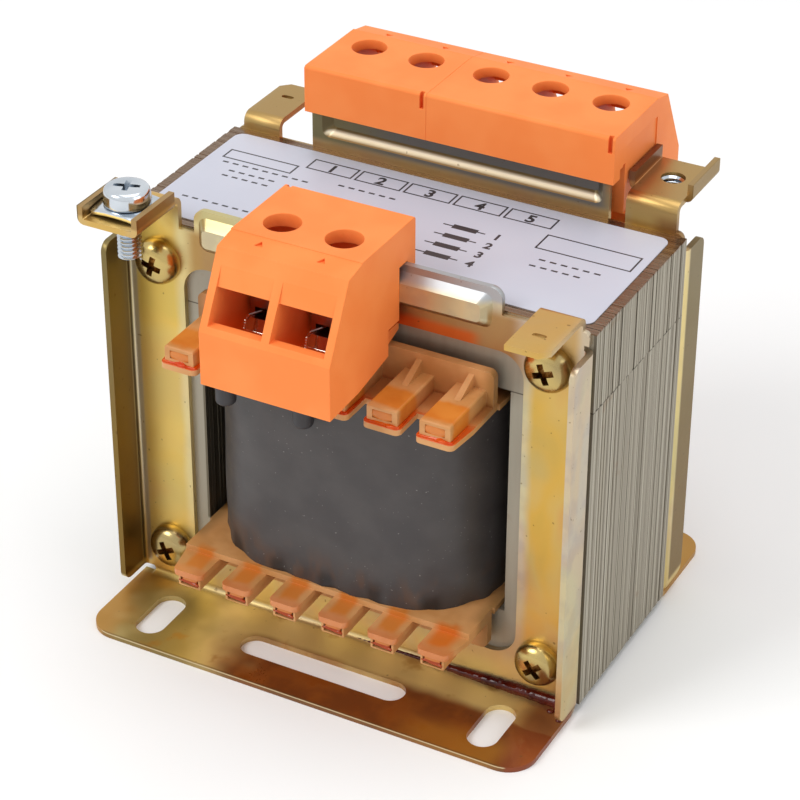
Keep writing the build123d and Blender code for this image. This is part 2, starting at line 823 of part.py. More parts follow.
def housing(left, poles):
    """A terminal housing as it hooks over the front frame's carrier."""
    width = block_width(poles)
    slot_back = -block_lip_clearance
    hook_ceiling = carrier_rise + block_lip_clearance
    pad_face = sheet + pad_depth
    outline = [
        (block_back, block_top),
        (block_back, block_lip_bottom),
        (slot_back, block_lip_bottom),
        (slot_back, hook_ceiling),
        (pad_face, hook_ceiling),
        (pad_face, block_shelf),
        (block_heel[0], block_shelf),
        block_heel,
        block_belly,
        block_toe,
        block_chin,
        block_brow,
        (block_top_edge, block_top - plateau_step),
        (block_top_edge, block_top),
    ]
    tongue_top = -frame_rail - tongue_top_clearance
    with BuildPart() as block:
        with BuildSketch(Plane.YZ.offset(left)):
            with BuildLine():
                Polyline(*side_view(outline), close=True)
            make_face()
        extrude(amount=width)
        back_edge_middle = (left + width / 2, front_y(block_back), level(block_top))
        fillet(block.edges().filter_by(Axis.X).sort_by_distance(back_edge_middle)[0], block_back_r)

        # Latch tongue under the frame window's top edge
        with BuildSketch(Plane.YZ.offset(left + tongue_inset_left)):
            with BuildLine():
                Polyline(
                    (front_y(block_heel[0]), level(tongue_top)),
                    (front_y(block_heel[0]), level(block_heel[1])),
                    (front_y(tongue_inner), level(block_heel[1] + tongue_underside_rise)),
                    (front_y(tongue_inner), level(tongue_top)),
                    close=True,
                )
            make_face()
        extrude(amount=width - tongue_inset_left - tongue_inset_right)

        # Chamber, driver hole, tail slot and dent of each pole
        for x in pole_xs(left, poles):
            with BuildSketch(Plane.YZ.offset(x - chamber_width / 2)):
                with BuildLine():
                    Polyline(*side_view(chamber_outline()), close=True)
                make_face()
            extrude(amount=chamber_width, mode=Mode.SUBTRACT)
            with Locations((x, front_y(driver_hole_reach), level(block_top))):
                Hole(driver_hole_d / 2, depth=block_top - entry_top)
            with BuildSketch(Plane.XY.offset(level(chamber_bottom))):
                with Locations((x, front_y(tail_reach))):
                    Rectangle(tail_width + 2 * tail_slot_clearance, tail_sheet + 2 * tail_slot_clearance)
            extrude(amount=block_toe[1] - chamber_bottom, mode=Mode.SUBTRACT)
            with BuildSketch(Plane.XY.offset(level(block_top))):
                with Locations((x, front_y(dent_reach))):
                    RegularPolygon(dent_r, 3, rotation=90)
            extrude(amount=-dent_depth, mode=Mode.SUBTRACT)

        # Slit in the top and shallow panel in the side at the end plate
        with Locations((left + end_slit_inset, front_y(block_back), level(block_top))):
            Box(end_slit_width, end_slit_length, end_slit_depth,
                align=(Align.CENTER, Align.MAX, Align.MAX), mode=Mode.SUBTRACT)
        panel_middle = (end_panel_front + end_panel_back) / 2
        with Locations((left, front_y(panel_middle), level(end_panel_bottom))):
            Box(end_panel_depth, end_panel_front - end_panel_back, end_panel_top - end_panel_bottom,
                align=(Align.MIN, Align.CENTER, Align.MIN), mode=Mode.SUBTRACT)
    return block.part


def clamp_cage(x):
    """One pole's clamp: an open-ended cage with a threaded roof and a solder tail."""
    depth = clamp_front - clamp_back
    height = clamp_top - clamp_bottom
    with BuildPart() as cage:
        with Locations((x, front_y(clamp_back), level(clamp_bottom))):
            Box(clamp_width, depth, height, align=(Align.CENTER, Align.MAX, Align.MIN))
        with Locations((x, front_y(clamp_back), level(clamp_bottom + clamp_wall))):
            Box(clamp_width - 2 * clamp_wall, depth, height - 2 * clamp_wall,
                align=(Align.CENTER, Align.MAX, Align.MIN), mode=Mode.SUBTRACT)
        with Locations((x, front_y(clamp_front), level(clamp_top))):
            Box(clamp_width, apron_sheet, clamp_top - apron_bottom,
                align=(Align.CENTER, Align.MIN, Align.MAX))
        with Locations((x, front_y(tail_reach), level(clamp_bottom))):
            Box(tail_width, tail_sheet, clamp_bottom - tail_bottom,
                align=(Align.CENTER, Align.CENTER, Align.MAX))
        with Locations((x, front_y(driver_hole_reach), level(clamp_top))):
            Hole(clamp_screw_d / 2 + thread_clearance, depth=2 * clamp_wall)
    return cage.part


def clamp_screw(x):
    """One pole's slotted clamp screw."""
    seat = Plane(origin=(x, front_y(driver_hole_reach), level(clamp_top)), z_dir=(0, 0, 1))
    head_height_inside = clamp_screw_head_top - clamp_top
    with BuildPart() as screw:
        with BuildSketch(seat):
            Circle(clamp_screw_head_d / 2)
        extrude(amount=head_height_inside)
        with BuildSketch(seat.offset(head_height_inside)):
            Rectangle(clamp_screw_head_d + sheet, driver_slot_width, rotation=driver_slot_turn)
        extrude(amount=-driver_slot_depth, mode=Mode.SUBTRACT)
        with BuildSketch(seat):
            Circle(clamp_screw_d / 2)
        extrude(amount=-(clamp_top - clamp_screw_tip))
    return screw.part


def wire_leaf(x):
    """One pole's bent leaf on the cage's floor, which guides the wire in under the screw."""
    floor = clamp_bottom + clamp_wall
    top_line = [
        (clamp_back, floor + leaf_sheet),
        (leaf_rise_start, floor + leaf_sheet),
        leaf_crest,
        leaf_nose,
    ]
    outline = top_line + [(reach, height - leaf_sheet) for reach, height in reversed(top_line)]
    with BuildPart() as leaf:
        with BuildSketch(Plane.YZ.offset(x - leaf_width / 2)):
            with BuildLine():
                Polyline(*side_view(outline), close=True)
            make_face()
        extrude(amount=leaf_width)
    return leaf.part


def front_solids(maker, left, poles):
    """One piece for each pole of the front block."""
    with BuildPart() as group:
        for x in pole_xs(left, poles):
            add(maker(x))
    return group.part


rear_three_left = rear_joint - block_width(3)

with BuildPart() as front_terminal_housing:
    add(housing(block_front_left, 2))
front_terminal_housing.part.label = "front_terminal_housing"
export_step(front_terminal_housing.part, "parts/front_terminal_housing.step")

with BuildPart() as front_terminal_clamps:
    add(front_solids(clamp_cage, block_front_left, 2))
front_terminal_clamps.part.label = "front_terminal_clamps"
export_step(front_terminal_clamps.part, "parts/front_terminal_clamps.step")

with BuildPart() as front_clamp_screws:
    add(front_solids(clamp_screw, block_front_left, 2))
front_clamp_screws.part.label = "front_clamp_screws"
export_step(front_clamp_screws.part, "parts/front_clamp_screws.step")

with BuildPart() as front_wire_leaves:
    add(front_solids(wire_leaf, block_front_left, 2))
front_wire_leaves.part.label = "front_wire_leaves"
export_step(front_wire_leaves.part, "parts/front_wire_leaves.step")

to_rear = Location((0, 0, rear_rise), (0, 0, 180))

with BuildPart() as rear_three_pole_housing:
    with Locations(to_rear):
        add(housing(rear_three_left, 3))
rear_three_pole_housing.part.label = "rear_three_pole_housing"
export_step(rear_three_pole_housing.part, "parts/rear_three_pole_housing.step")

with BuildPart() as rear_three_pole_clamps:
    with Locations(to_rear):
        add(front_solids(clamp_cage, rear_three_left, 3))
rear_three_pole_clamps.part.label = "rear_three_pole_clamps"
export_step(rear_three_pole_clamps.part, "parts/rear_three_pole_clamps.step")

with BuildPart() as rear_three_pole_screws:
    with Locations(to_rear):
        add(front_solids(clamp_screw, rear_three_left, 3))
rear_three_pole_screws.part.label = "rear_three_pole_screws"
export_step(rear_three_pole_screws.part, "parts/rear_three_pole_screws.step")

with BuildPart() as rear_three_pole_leaves:
    with Locations(to_rear):
        add(front_solids(wire_leaf, rear_three_left, 3))
rear_three_pole_leaves.part.label = "rear_three_pole_leaves"
export_step(rear_three_pole_leaves.part, "parts/rear_three_pole_leaves.step")

with BuildPart() as rear_two_pole_housing:
    with Locations(to_rear):
        add(housing(rear_joint, 2))
rear_two_pole_housing.part.label = "rear_two_pole_housing"
export_step(rear_two_pole_housing.part, "parts/rear_two_pole_housing.step")

with BuildPart() as rear_two_pole_clamps:
    with Locations(to_rear):
        add(front_solids(clamp_cage, rear_joint, 2))
rear_two_pole_clamps.part.label = "rear_two_pole_clamps"
export_step(rear_two_pole_clamps.part, "parts/rear_two_pole_clamps.step")

with BuildPart() as rear_two_pole_screws:
    with Locations(to_rear):
        add(front_solids(clamp_screw, rear_joint, 2))
rear_two_pole_screws.part.label = "rear_two_pole_screws"
export_step(rear_two_pole_screws.part, "parts/rear_two_pole_screws.step")

with BuildPart() as rear_two_pole_leaves:
    with Locations(to_rear):
        add(front_solids(wire_leaf, rear_joint, 2))
rear_two_pole_leaves.part.label = "rear_two_pole_leaves"
export_step(rear_two_pole_leaves.part, "parts/rear_two_pole_leaves.step")


# Rating label

with BuildPart() as rating_label:
    label_front = -half_stack + label_front_margin
    label_back = half_stack - label_back_margin
    with BuildSketch(Plane.XY.offset(core_top)):
        with Locations((0, (label_front + label_back) / 2)):
            RectangleRounded(2 * label_half_width, label_back - label_front, label_r)
    extrude(amount=label_thickness)
rating_label.part.label = "rating_label"
export_step(rating_label.part, "parts/rating_label.step")
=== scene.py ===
# %% [markdown]
# # A small laminated transformer on a white table
#
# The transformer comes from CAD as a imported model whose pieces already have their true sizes. This
# lesson dresses it: it sets up a camera and soft lights, gives every piece a finish made of nodes,
# and models the small forms that CAD leaves plain, such as sheet edges, screw threads and varnish.
# Everything is in metres, in the frame of the CAD model.

import math
import random

import bmesh
import bpy
from mathutils import Matrix, Vector, noise


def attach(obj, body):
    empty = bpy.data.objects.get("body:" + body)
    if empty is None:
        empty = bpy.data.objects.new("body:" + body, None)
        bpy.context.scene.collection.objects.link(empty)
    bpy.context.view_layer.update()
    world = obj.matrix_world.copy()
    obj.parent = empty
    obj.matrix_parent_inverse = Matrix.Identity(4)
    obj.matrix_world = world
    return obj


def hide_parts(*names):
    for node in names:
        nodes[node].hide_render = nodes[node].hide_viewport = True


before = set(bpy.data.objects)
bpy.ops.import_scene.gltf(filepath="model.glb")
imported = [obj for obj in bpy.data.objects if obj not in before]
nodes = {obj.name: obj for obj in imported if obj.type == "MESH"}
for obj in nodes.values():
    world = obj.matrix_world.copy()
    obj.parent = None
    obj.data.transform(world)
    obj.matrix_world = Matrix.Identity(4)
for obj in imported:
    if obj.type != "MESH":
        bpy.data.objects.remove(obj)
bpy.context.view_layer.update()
MM = 0.001
FULL_TURN = 2 * math.pi

# %% [markdown]
# ## The camera
#
# The photographer stood to the right of the front and above it, with a long lens. Turn, tilt and
# roll give three directions, and these are the columns of the camera's rotation matrix. A tracking
# constraint would be quicker, but it couldn't hold the small roll.

# %% Place the camera
CAMERA_PLACE = (180.0, -338.35, 277.72)
CAMERA_TURN = 0.490138
CAMERA_TILT = 0.558744
CAMERA_ROLL = 0.004118
CAMERA_LENS = 121.83

ahead = Vector((
    -math.sin(CAMERA_TURN) * math.cos(CAMERA_TILT),
    math.cos(CAMERA_TURN) * math.cos(CAMERA_TILT),
    -math.sin(CAMERA_TILT),
))
level_right = Vector((math.cos(CAMERA_TURN), math.sin(CAMERA_TURN), 0))
level_up = level_right.cross(ahead)
right = level_right * math.cos(CAMERA_ROLL) + level_up * math.sin(CAMERA_ROLL)
up = level_up * math.cos(CAMERA_ROLL) - level_right * math.sin(CAMERA_ROLL)

camera = bpy.data.objects.new("camera", bpy.data.cameras.new("camera"))
bpy.context.scene.collection.objects.link(camera)
camera.data.lens = CAMERA_LENS
camera.data.clip_start = 0.01
camera.location = Vector(CAMERA_PLACE) * MM
camera.rotation_mode = "QUATERNION"
camera.rotation_quaternion = Matrix((right, up, -ahead)).transposed().to_quaternion()
bpy.context.scene.camera = camera
print("camera looks along", [round(v, 3) for v in ahead])

# %% [markdown]
# ## Sums of sockets
#
# A finish is a small net of nodes. Written node by node it is hard to read, so one class wraps a
# socket and lets Python's own signs add Math nodes, and another holds one material and adds every
# other kind of node. A mask then reads as a formula, such as `reach.rise(2, 4) * (1 - spots)`.

# %% A socket that takes part in sums
class Amount:
    """The output of a node, which Python's operators pass on to new Math nodes."""

    def __init__(self, finish, socket):
        self.finish = finish
        self.socket = socket

    def math(self, operation, first, *others):
        inputs = dict(enumerate((first, *others)))
        return self.finish.node("ShaderNodeMath", {"operation": operation}, inputs)

    def __add__(self, other):
        return self.math("ADD", self, other)

    def __sub__(self, other):
        return self.math("SUBTRACT", self, other)

    def __rsub__(self, other):
        return self.math("SUBTRACT", other, self)

    def __mul__(self, other):
        return self.math("MULTIPLY", self, other)

    def __truediv__(self, other):
        return self.math("DIVIDE", self, other)

    def __mod__(self, other):
        return self.math("FLOORED_MODULO", self, other)

    def __abs__(self):
        return self.math("ABSOLUTE", self)

    __radd__ = __add__
    __rmul__ = __mul__

    def most(self, other):
        return self.math("MAXIMUM", self, other)

    def rise(self, low, high):
        """0 below low, 1 above high, and smooth in between."""
        settings = {"interpolation_type": "SMOOTHSTEP"}
        inputs = {"Value": self, "From Min": low, "From Max": high}
        return self.finish.node("ShaderNodeMapRange", settings, inputs)

    def fall(self, low, high):
        """1 below low, 0 above high."""
        return 1 - self.rise(low, high)

    def within(self, low, high, soft):
        """1 between low and high, with edges this soft."""
        return self.rise(low - soft, low + soft) * self.fall(high - soft, high + soft)


# %% A finish made of nodes
def tint(red, green, blue):
    """A colour as it looks on a screen, 0 to 255, as the linear colour that a shader takes."""
    def linear(value):
        share = value / 255
        return share / 12.92 if share <= 0.04045 else ((share + 0.055) / 1.055) ** 2.4
    return (linear(red), linear(green), linear(blue), 1)


def shade(colour):
    """Makes a screen colour of three numbers linear. Sockets and linear colours stay."""
    return tint(*colour) if isinstance(colour, tuple) and len(colour) == 3 else colour


class Finish:
    """One material, with a method for each kind of node."""

    def __init__(self, name, roughness=0.5, metallic=0.0, specular=0.5):
        self.material = bpy.data.materials.new(name)
        self.material.use_nodes = True
        self.tree = self.material.node_tree
        self.shader = self.tree.nodes["Principled BSDF"]
        self.apply({"Roughness": roughness, "Metallic": metallic, "Specular IOR Level": specular})

    def node(self, kind, settings=None, inputs=None, output=0):
        """Adds a node. Its settings come first, because they decide which sockets it has."""
        node = self.tree.nodes.new(kind)
        settings = dict(settings or {})
        stops = settings.pop("stops", None)
        for key, value in settings.items():
            setattr(node, key, value)
        if stops:
            ramp = node.color_ramp.elements
            while len(ramp) < len(stops):
                ramp.new(1)
            for element, (place, colour) in zip(ramp, stops):
                element.position = place
                element.color = colour
        for key, value in (inputs or {}).items():
            self.plug(node.inputs[key], value)
        return Amount(self, node.outputs[output])

    def plug(self, socket, value):
        if isinstance(value, Amount):
            self.tree.links.new(value.socket, socket)
        else:
            socket.default_value = value

    def apply(self, sockets):
        for name, value in sockets.items():
            self.plug(self.shader.inputs[name], value)

    def point(self):
        """The point on the piece, in millimetres."""
        place = self.node("ShaderNodeTexCoord", output=3)
        scaled = {"operation": "SCALE"}
        return self.node("ShaderNodeVectorMath", scaled, {"Vector": place, "Scale": 1 / MM})

    def axes(self):
        """X, Y and Z of the point, in millimetres."""
        place = self.point()
        split = self.tree.nodes.new("ShaderNodeSeparateXYZ")
        self.plug(split.inputs[0], place)
        return [Amount(self, socket) for socket in split.outputs]

    def noise(self, size, detail=2.0, stretch=(1, 1, 1), shift=(0, 0, 0), twist=0.0):
        """Soft noise from 0 to 1 whose lumps are about this many millimetres wide."""
        scale = [1 / (size * part) for part in stretch]
        inputs = {"Vector": self.point(), "Scale": scale, "Location": shift}
        place = self.node("ShaderNodeMapping", None, inputs)
        inputs = {"Vector": place, "Scale": 1.0, "Detail": detail, "Distortion": twist}
        return self.node("ShaderNodeTexNoise", None, inputs)

    def mix(self, share, low, high):
        """A colour between two others."""
        inputs = {0: share, 6: shade(low), 7: shade(high)}
        return self.node("ShaderNodeMix", {"data_type": "RGBA"}, inputs, 2)

    def layers(self, colour, *coats):
        """Lays coats of colour over one another, each as strong as its mask."""
        for mask, coat in coats:
            colour = self.mix(mask, colour, coat)
        return colour

    def ramp(self, share, *stops):
        stops = [(place, shade(colour)) for place, colour in stops]
        return self.node("ShaderNodeValToRGB", {"stops": stops}, {0: share})

    def bump(self, height, strength=1.0):
        """Turns a height in millimetres into a normal."""
        inputs = {"Height": height, "Distance": MM, "Strength": strength}
        return self.node("ShaderNodeBump", None, inputs)


# %% [markdown]
# ## Floor, background and light
#
# The object stands in a white light tent. The floor is white and keeps the shadow. The world is
# white where the camera or a mirror-like surface sees it, and dimmer where it only lights matt
# surfaces, so that the lamps can model the form.

# %% Make the floor
FLOOR_HALF_SIZE = 3.0

paint = Finish("floor_white", roughness=0.9)
paint.apply({"Base Color": tint(250, 250, 250)})
mesh = bmesh.new()
bmesh.ops.create_grid(mesh, x_segments=1, y_segments=1, size=FLOOR_HALF_SIZE)
floor_data = bpy.data.meshes.new("floor")
mesh.to_mesh(floor_data)
mesh.free()
floor = bpy.data.objects.new("floor", floor_data)
bpy.context.scene.collection.objects.link(floor)
floor_data.materials.append(paint.material)

# %% Make the world
WORLD_LIGHT = 0.6

world = bpy.data.worlds.new("light_tent")
bpy.context.scene.world = world
world.use_nodes = True
links = world.node_tree.links
background = world.node_tree.nodes["Background"]
rays = world.node_tree.nodes.new("ShaderNodeLightPath")
seen = world.node_tree.nodes.new("ShaderNodeMath")
seen.operation = "ADD"
links.new(rays.outputs["Is Camera Ray"], seen.inputs[0])
links.new(rays.outputs["Is Glossy Ray"], seen.inputs[1])
seen_any = world.node_tree.nodes.new("ShaderNodeMath")
seen_any.operation = "ADD"
seen_any.use_clamp = True
links.new(seen.outputs[0], seen_any.inputs[0])
links.new(rays.outputs["Is Transmission Ray"], seen_any.inputs[1])
strength = world.node_tree.nodes.new("ShaderNodeMapRange")
strength.inputs["To Min"].default_value = WORLD_LIGHT
strength.inputs["To Max"].default_value = 1.0
links.new(seen_any.outputs[0], strength.inputs["Value"])
background.inputs["Color"].default_value = (1, 1, 1, 1)
links.new(strength.outputs[0], background.inputs["Strength"])

# %% Hang the lamps
TARGET = Vector((0, 0, 0.04))
LAMPS = {
    "key_lamp": ((-0.55, -0.75, 0.85), 0.55, 5.9),
    "top_lamp": ((0.10, 0.10, 1.20), 0.80, 4.1),
    "side_lamp": ((0.95, -0.15, 0.45), 0.60, 1.5),
}


def hang_lamp(name, place, size, power):
    """A square lamp that faces the object."""
    lamp = bpy.data.objects.new(name, bpy.data.lights.new(name, "AREA"))
    bpy.context.scene.collection.objects.link(lamp)
    lamp.data.size = size
    lamp.data.energy = power
    lamp.location = place
    lamp.rotation_mode = "QUATERNION"
    lamp.rotation_quaternion = (TARGET - lamp.location).to_track_quat("-Z", "Y")


for name, (place, size, power) in LAMPS.items():
    hang_lamp(name, place, size, power)
bpy.context.scene.view_settings.view_transform = "Standard"
print("lamps:", ", ".join(LAMPS))

# %% [markdown]
# ## Shared places
#
# The core stands 1.5 mm above the table on the folded feet, and is 84 mm wide and 34.3 mm deep.
# Several finishes and pieces need to know how far a point stands in front of the core, here called
# its reach. It is the same at the front and at the back.

# %% Name the sizes
HALF_STACK = 17.15
CORE_LIFT = 1.5
LEG = 14.0
CORE_HALF = 42.0
WINDOW_HEIGHT = 42.0
CORE_TOP = CORE_LIFT + WINDOW_HEIGHT + 2 * LEG
WINDOW_FOOT = CORE_LIFT + LEG
WINDOW_TOP = CORE_LIFT + LEG + WINDOW_HEIGHT
FRAME_SHEET = 1.0
BOLT_X = 35.0
BOLT_LOW = CORE_LIFT + 7.0
BOLT_HIGH = CORE_LIFT + 63.0

# %% [markdown]
# ## Yellow-passivated steel
#
# The frames are thin steel sheet with a zinc coat and a yellow passivation film. The film is so
# thin that it shows interference colours: gold in the middle of a face, paler and greyer at bends
# and edges, with drifts of pink and green. A varnish bath has also left brown runs on the feet.
# Masks from the point's place set where each colour goes, and noise breaks up their edges.

# %% Make the frame's finish
RECESS_FOOT = CORE_TOP + 2.3
RECESS_RISE = 1.4
RAIL_FOOT = CORE_TOP - 7.3
FOOT_END = 19.6


def passivated_steel():
    steel = Finish("passivated_steel")
    x, y, z = steel.axes()
    drift = steel.noise(16, 3)
    cloud = steel.noise(5, 3, shift=(3, 0, 0))
    veil = steel.noise(20, 2, stretch=(1, 1, 1.6), shift=(0, 9, 3), twist=1.2)
    grain = steel.noise(0.5, 2)
    wander = (steel.noise(9, 2, shift=(7, 1, 0)) - 0.5) * 12
    reach = abs(y) - HALF_STACK
    across = abs(x)
    side = x * (y / abs(y)) * -1
    ragged = side + wander
    ragged_x = x + wander * 0.3
    rear = y.rise(-1, 1)
    facing = steel.tree.nodes.new("ShaderNodeSeparateXYZ")
    steel.plug(facing.inputs[0], steel.node("ShaderNodeTexCoord", output=1))
    upward = Amount(steel, facing.outputs[2])

    # Uprights: gold in the middle of a leg, paler beside it, with drifts of other film colours
    gold = steel.mix(drift.rise(0.4, 0.62), (210, 168, 78), (190, 162, 92))
    pale = steel.mix(cloud.rise(0.4, 0.6), (202, 194, 164), (186, 180, 160))
    leg_middle = (across + wander * 0.1).within(31.9, 39.6, 0.9)
    film = steel.ramp(
        veil,
        (0.34, (172, 160, 84)),
        (0.44, (216, 178, 92)),
        (0.52, (206, 190, 136)),
        (0.60, (204, 160, 132)),
        (0.70, (184, 170, 176)),
    )
    rail = z.within(CORE_TOP - 14, CORE_TOP, 1.2) * across.fall(28, 31) * reach.fall(1.4, 1.8)
    tabs = z.rise(CORE_TOP + 1, CORE_TOP + 3) * across.rise(26, 29)
    earth_lips = z.rise(CORE_TOP + 5.6, CORE_TOP + 6.2) * side.fall(-28, -26)

    # The left flange's inner side in painted shade, the pale strip beside it and a painted shadow line
    # in the crease between them
    inner_side_shade = side.fall(-40.95, -40.85) * reach.rise(1.4, 2.2) * z.rise(3, 4)
    inner_shade_tone = steel.mix(z.rise(20, 66), (116, 88, 32), (112, 96, 58))
    strip = side.within(-40.7, -39.7, 0.3) * reach.rise(0.8, 0.95) * z.rise(3, 4) * z.fall(66, 70)
    crease = side.within(-41.15, -40.8, 0.12) * reach.within(0.9, 1.7, 0.1) * z.rise(3, 4)

    # The rear frame above the core, with painted shade on the back of its recess, a painted highlight
    # along the recess's lower slope, and varnish stains
    carrier = z.rise(CORE_TOP + 1, CORE_TOP + 2.2) * across.fall(26, 30)
    carrier_tone = steel.mix(x.rise(-24, -8), (198, 186, 134), (172, 174, 176))
    behind = rear * z.rise(CORE_TOP - 1, CORE_TOP + 1)
    slope = behind * carrier * upward.rise(0.2, 0.5) * z.fall(CORE_TOP + 7, CORE_TOP + 8)
    # Painted highlight across the recess's lower slope, darker above and below it
    slope_highlight = steel.ramp(
        (z - RECESS_FOOT) / RECESS_RISE,
        (0.1, (120, 92, 52)),
        (0.4, (236, 226, 192)),
        (0.55, (246, 240, 214)),
        (0.85, (112, 98, 62)),
    )
    stain = rear * z.within(CORE_TOP - 2, CORE_TOP + 2.5, 1) * ragged_x.rise(35, 38)
    halo = behind * ragged_x.within(28, 33.2, 1.2) * z.rise(CORE_TOP + 4, CORE_TOP + 5)
    lip = behind * x.within(29, 31.9, 0.2) * z.rise(CORE_TOP + 5.5, CORE_TOP + 6.2)
    spill = (1 - rear) * ragged_x.within(3, 22.5, 1.5) * reach.within(0.8, 1.6, 0.1)
    spill = spill * z.within(RAIL_FOOT, RAIL_FOOT + 2.6, 0.8)
    upright = steel.layers(
        steel.mix(leg_middle, pale, gold),
        (z.fall(6, 22) * 0.6, (204, 182, 132)),
        (0.3, film),
        (side.fall(-28, -26) * 0.32, (250, 222, 124)),
        (rail * 0.8, (162, 120, 62)),
        (carrier, carrier_tone),
        (tabs * 0.7, (196, 158, 92)),
        (earth_lips * 0.6, (136, 102, 66)),
        # Painted shade on the left flange's inner side
        (inner_side_shade * 0.9, inner_shade_tone),
        (strip * 0.85, (184, 176, 162)),
        # Painted shadow line in the crease
        (crease * 0.8, (58, 52, 40)),
        # Painted shade: dark olive on the recess's back face, while the tabs keep their own tone
        (behind * 0.75, steel.mix(carrier, (160, 132, 84), (66, 58, 36))),
        # Painted highlight on the lower slope
        (slope * 0.95, slope_highlight),
        (stain * 0.6, (122, 74, 42)),
        (halo * 0.55, (182, 108, 60)),
        (lip * 0.6, (84, 60, 54)),
        (spill * 0.75, (214, 96, 22)),
    )

    # Feet: olive by the bend, then brown varnish over most of the right half
    foot = z.fall(1.6, 3.2) * reach.rise(0.4, 2.2)
    olive = steel.mix(drift.rise(0.42, 0.6), (160, 138, 78), (196, 172, 112))
    amber = ragged.fall(-39, -33).most(cloud.rise(0.58, 0.7) * 0.8)
    front_part = (reach + wander * 0.2).rise(7.0, 9.6)
    brown_place = (ragged.rise(-20, -10) * front_part).most(side.rise(31, 37) * 0.9)
    brown = steel.layers(
        steel.mix(cloud.rise(0.35, 0.62), (122, 50, 1), (146, 70, 6)),
        (ragged.rise(14, 30) * reach.rise(12, 17), (178, 112, 30)),
        (side.rise(34, 38.5), (126, 40, 2)),
    )
    cut_face = reach.rise(FOOT_END - 0.1, FOOT_END + 0.1)
    foot_colour = steel.layers(
        olive,
        (ragged.rise(-26, -14) * 0.85, (234, 206, 136)),
        (amber * 0.8, (176, 124, 44)),
        (brown_place * 0.94, brown),
        (cut_face * 0.5, (112, 88, 50)),
        # Painted highlight: a pale line along the top of the feet's cut edge
        (cut_face * z.within(0.72, 0.92, 0.06) * 0.8, (226, 210, 168)),
    )

    specks = steel.noise(0.9, 1, shift=(0, 4, 2)).rise(0.74, 0.78) * 0.5
    varnished = foot * brown_place
    steel.apply({
        "Base Color": steel.layers(upright, (foot, foot_colour), (specks, (92, 66, 34))),
        "Metallic": 1 - foot * 0.4 - varnished * 0.1 - behind * carrier * 0.3,
        "Roughness": 0.3 + drift * 0.16 + grain * 0.06 - varnished * 0.1,
        "Coat Weight": varnished * 0.12,
        "Normal": steel.bump((cloud - 0.5) * 0.03 + (grain - 0.5) * 0.004),
    })
    return steel


# %% [markdown]
# ## Plastics, tape, paper and bright metal
#
# The smaller finishes follow the same pattern: a base colour broken by noise at the scale of the
# real grain, a matching change of roughness, and a bump of a few hundredths of a millimetre.

# %% Make the orange plastic
PAINTED_GLOW = (0.5, 0.05, 0.0, 1)
PAINTED_GLOW_STRENGTH = 0.22
HOLLOW_REACH = 7


def orange_plastic():
    """Orange nylon. Its hollows get painted shade, a deeper red base colour, and painted light from
    emission, standing in for light that bounces about in them.
    """
    plastic = Finish("orange_plastic", specular=0.16)
    _, y, z = plastic.axes()
    cloud = plastic.noise(9, 2)
    grain = plastic.noise(0.35, 3)
    settings = {"samples": 8, "only_local": True}
    inputs = {"Distance": HOLLOW_REACH * MM}
    # Ambient occlusion finds the hollows, which get painted shade and painted emission light.
    hollow = plastic.node("ShaderNodeAmbientOcclusion", settings, inputs, 1).fall(0.25, 0.85)
    reach = abs(y) - HALF_STACK
    dents = reach.within(14.4, 17.2, 0.2) * z.rise(CORE_TOP + 7, CORE_TOP + 7.5)
    painted_glow = hollow * (1 - dents) * reach.rise(4.5, 6)
    plastic.apply({
        "Base Color": plastic.layers(
            plastic.mix(cloud.rise(0.35, 0.65), (250, 138, 70), (253, 145, 77)),
            # Painted shade: a deeper red in the hollows.
            (hollow * 0.5 - dents * 0.2, (226, 82, 20)),
        ),
        "Roughness": 0.4 + grain * 0.14,
        # Painted light: the hollows emit a little red-orange light.
        "Emission Color": plastic.mix(painted_glow, (0, 0, 0, 1), PAINTED_GLOW),
        "Emission Strength": PAINTED_GLOW_STRENGTH,
        "Normal": plastic.bump(grain * 0.006),
    })
    return plastic


# %% Make the bobbin's plastic
FINGER_PITCH = 9.1
COIL_TOP = CORE_LIFT + 53.1
COIL_BOTTOM = CORE_LIFT + 15.2


def finger_offset(x):
    """How far a point stands to one side of the nearest finger's middle."""
    return (x + FINGER_PITCH * 4) % FINGER_PITCH - FINGER_PITCH / 2


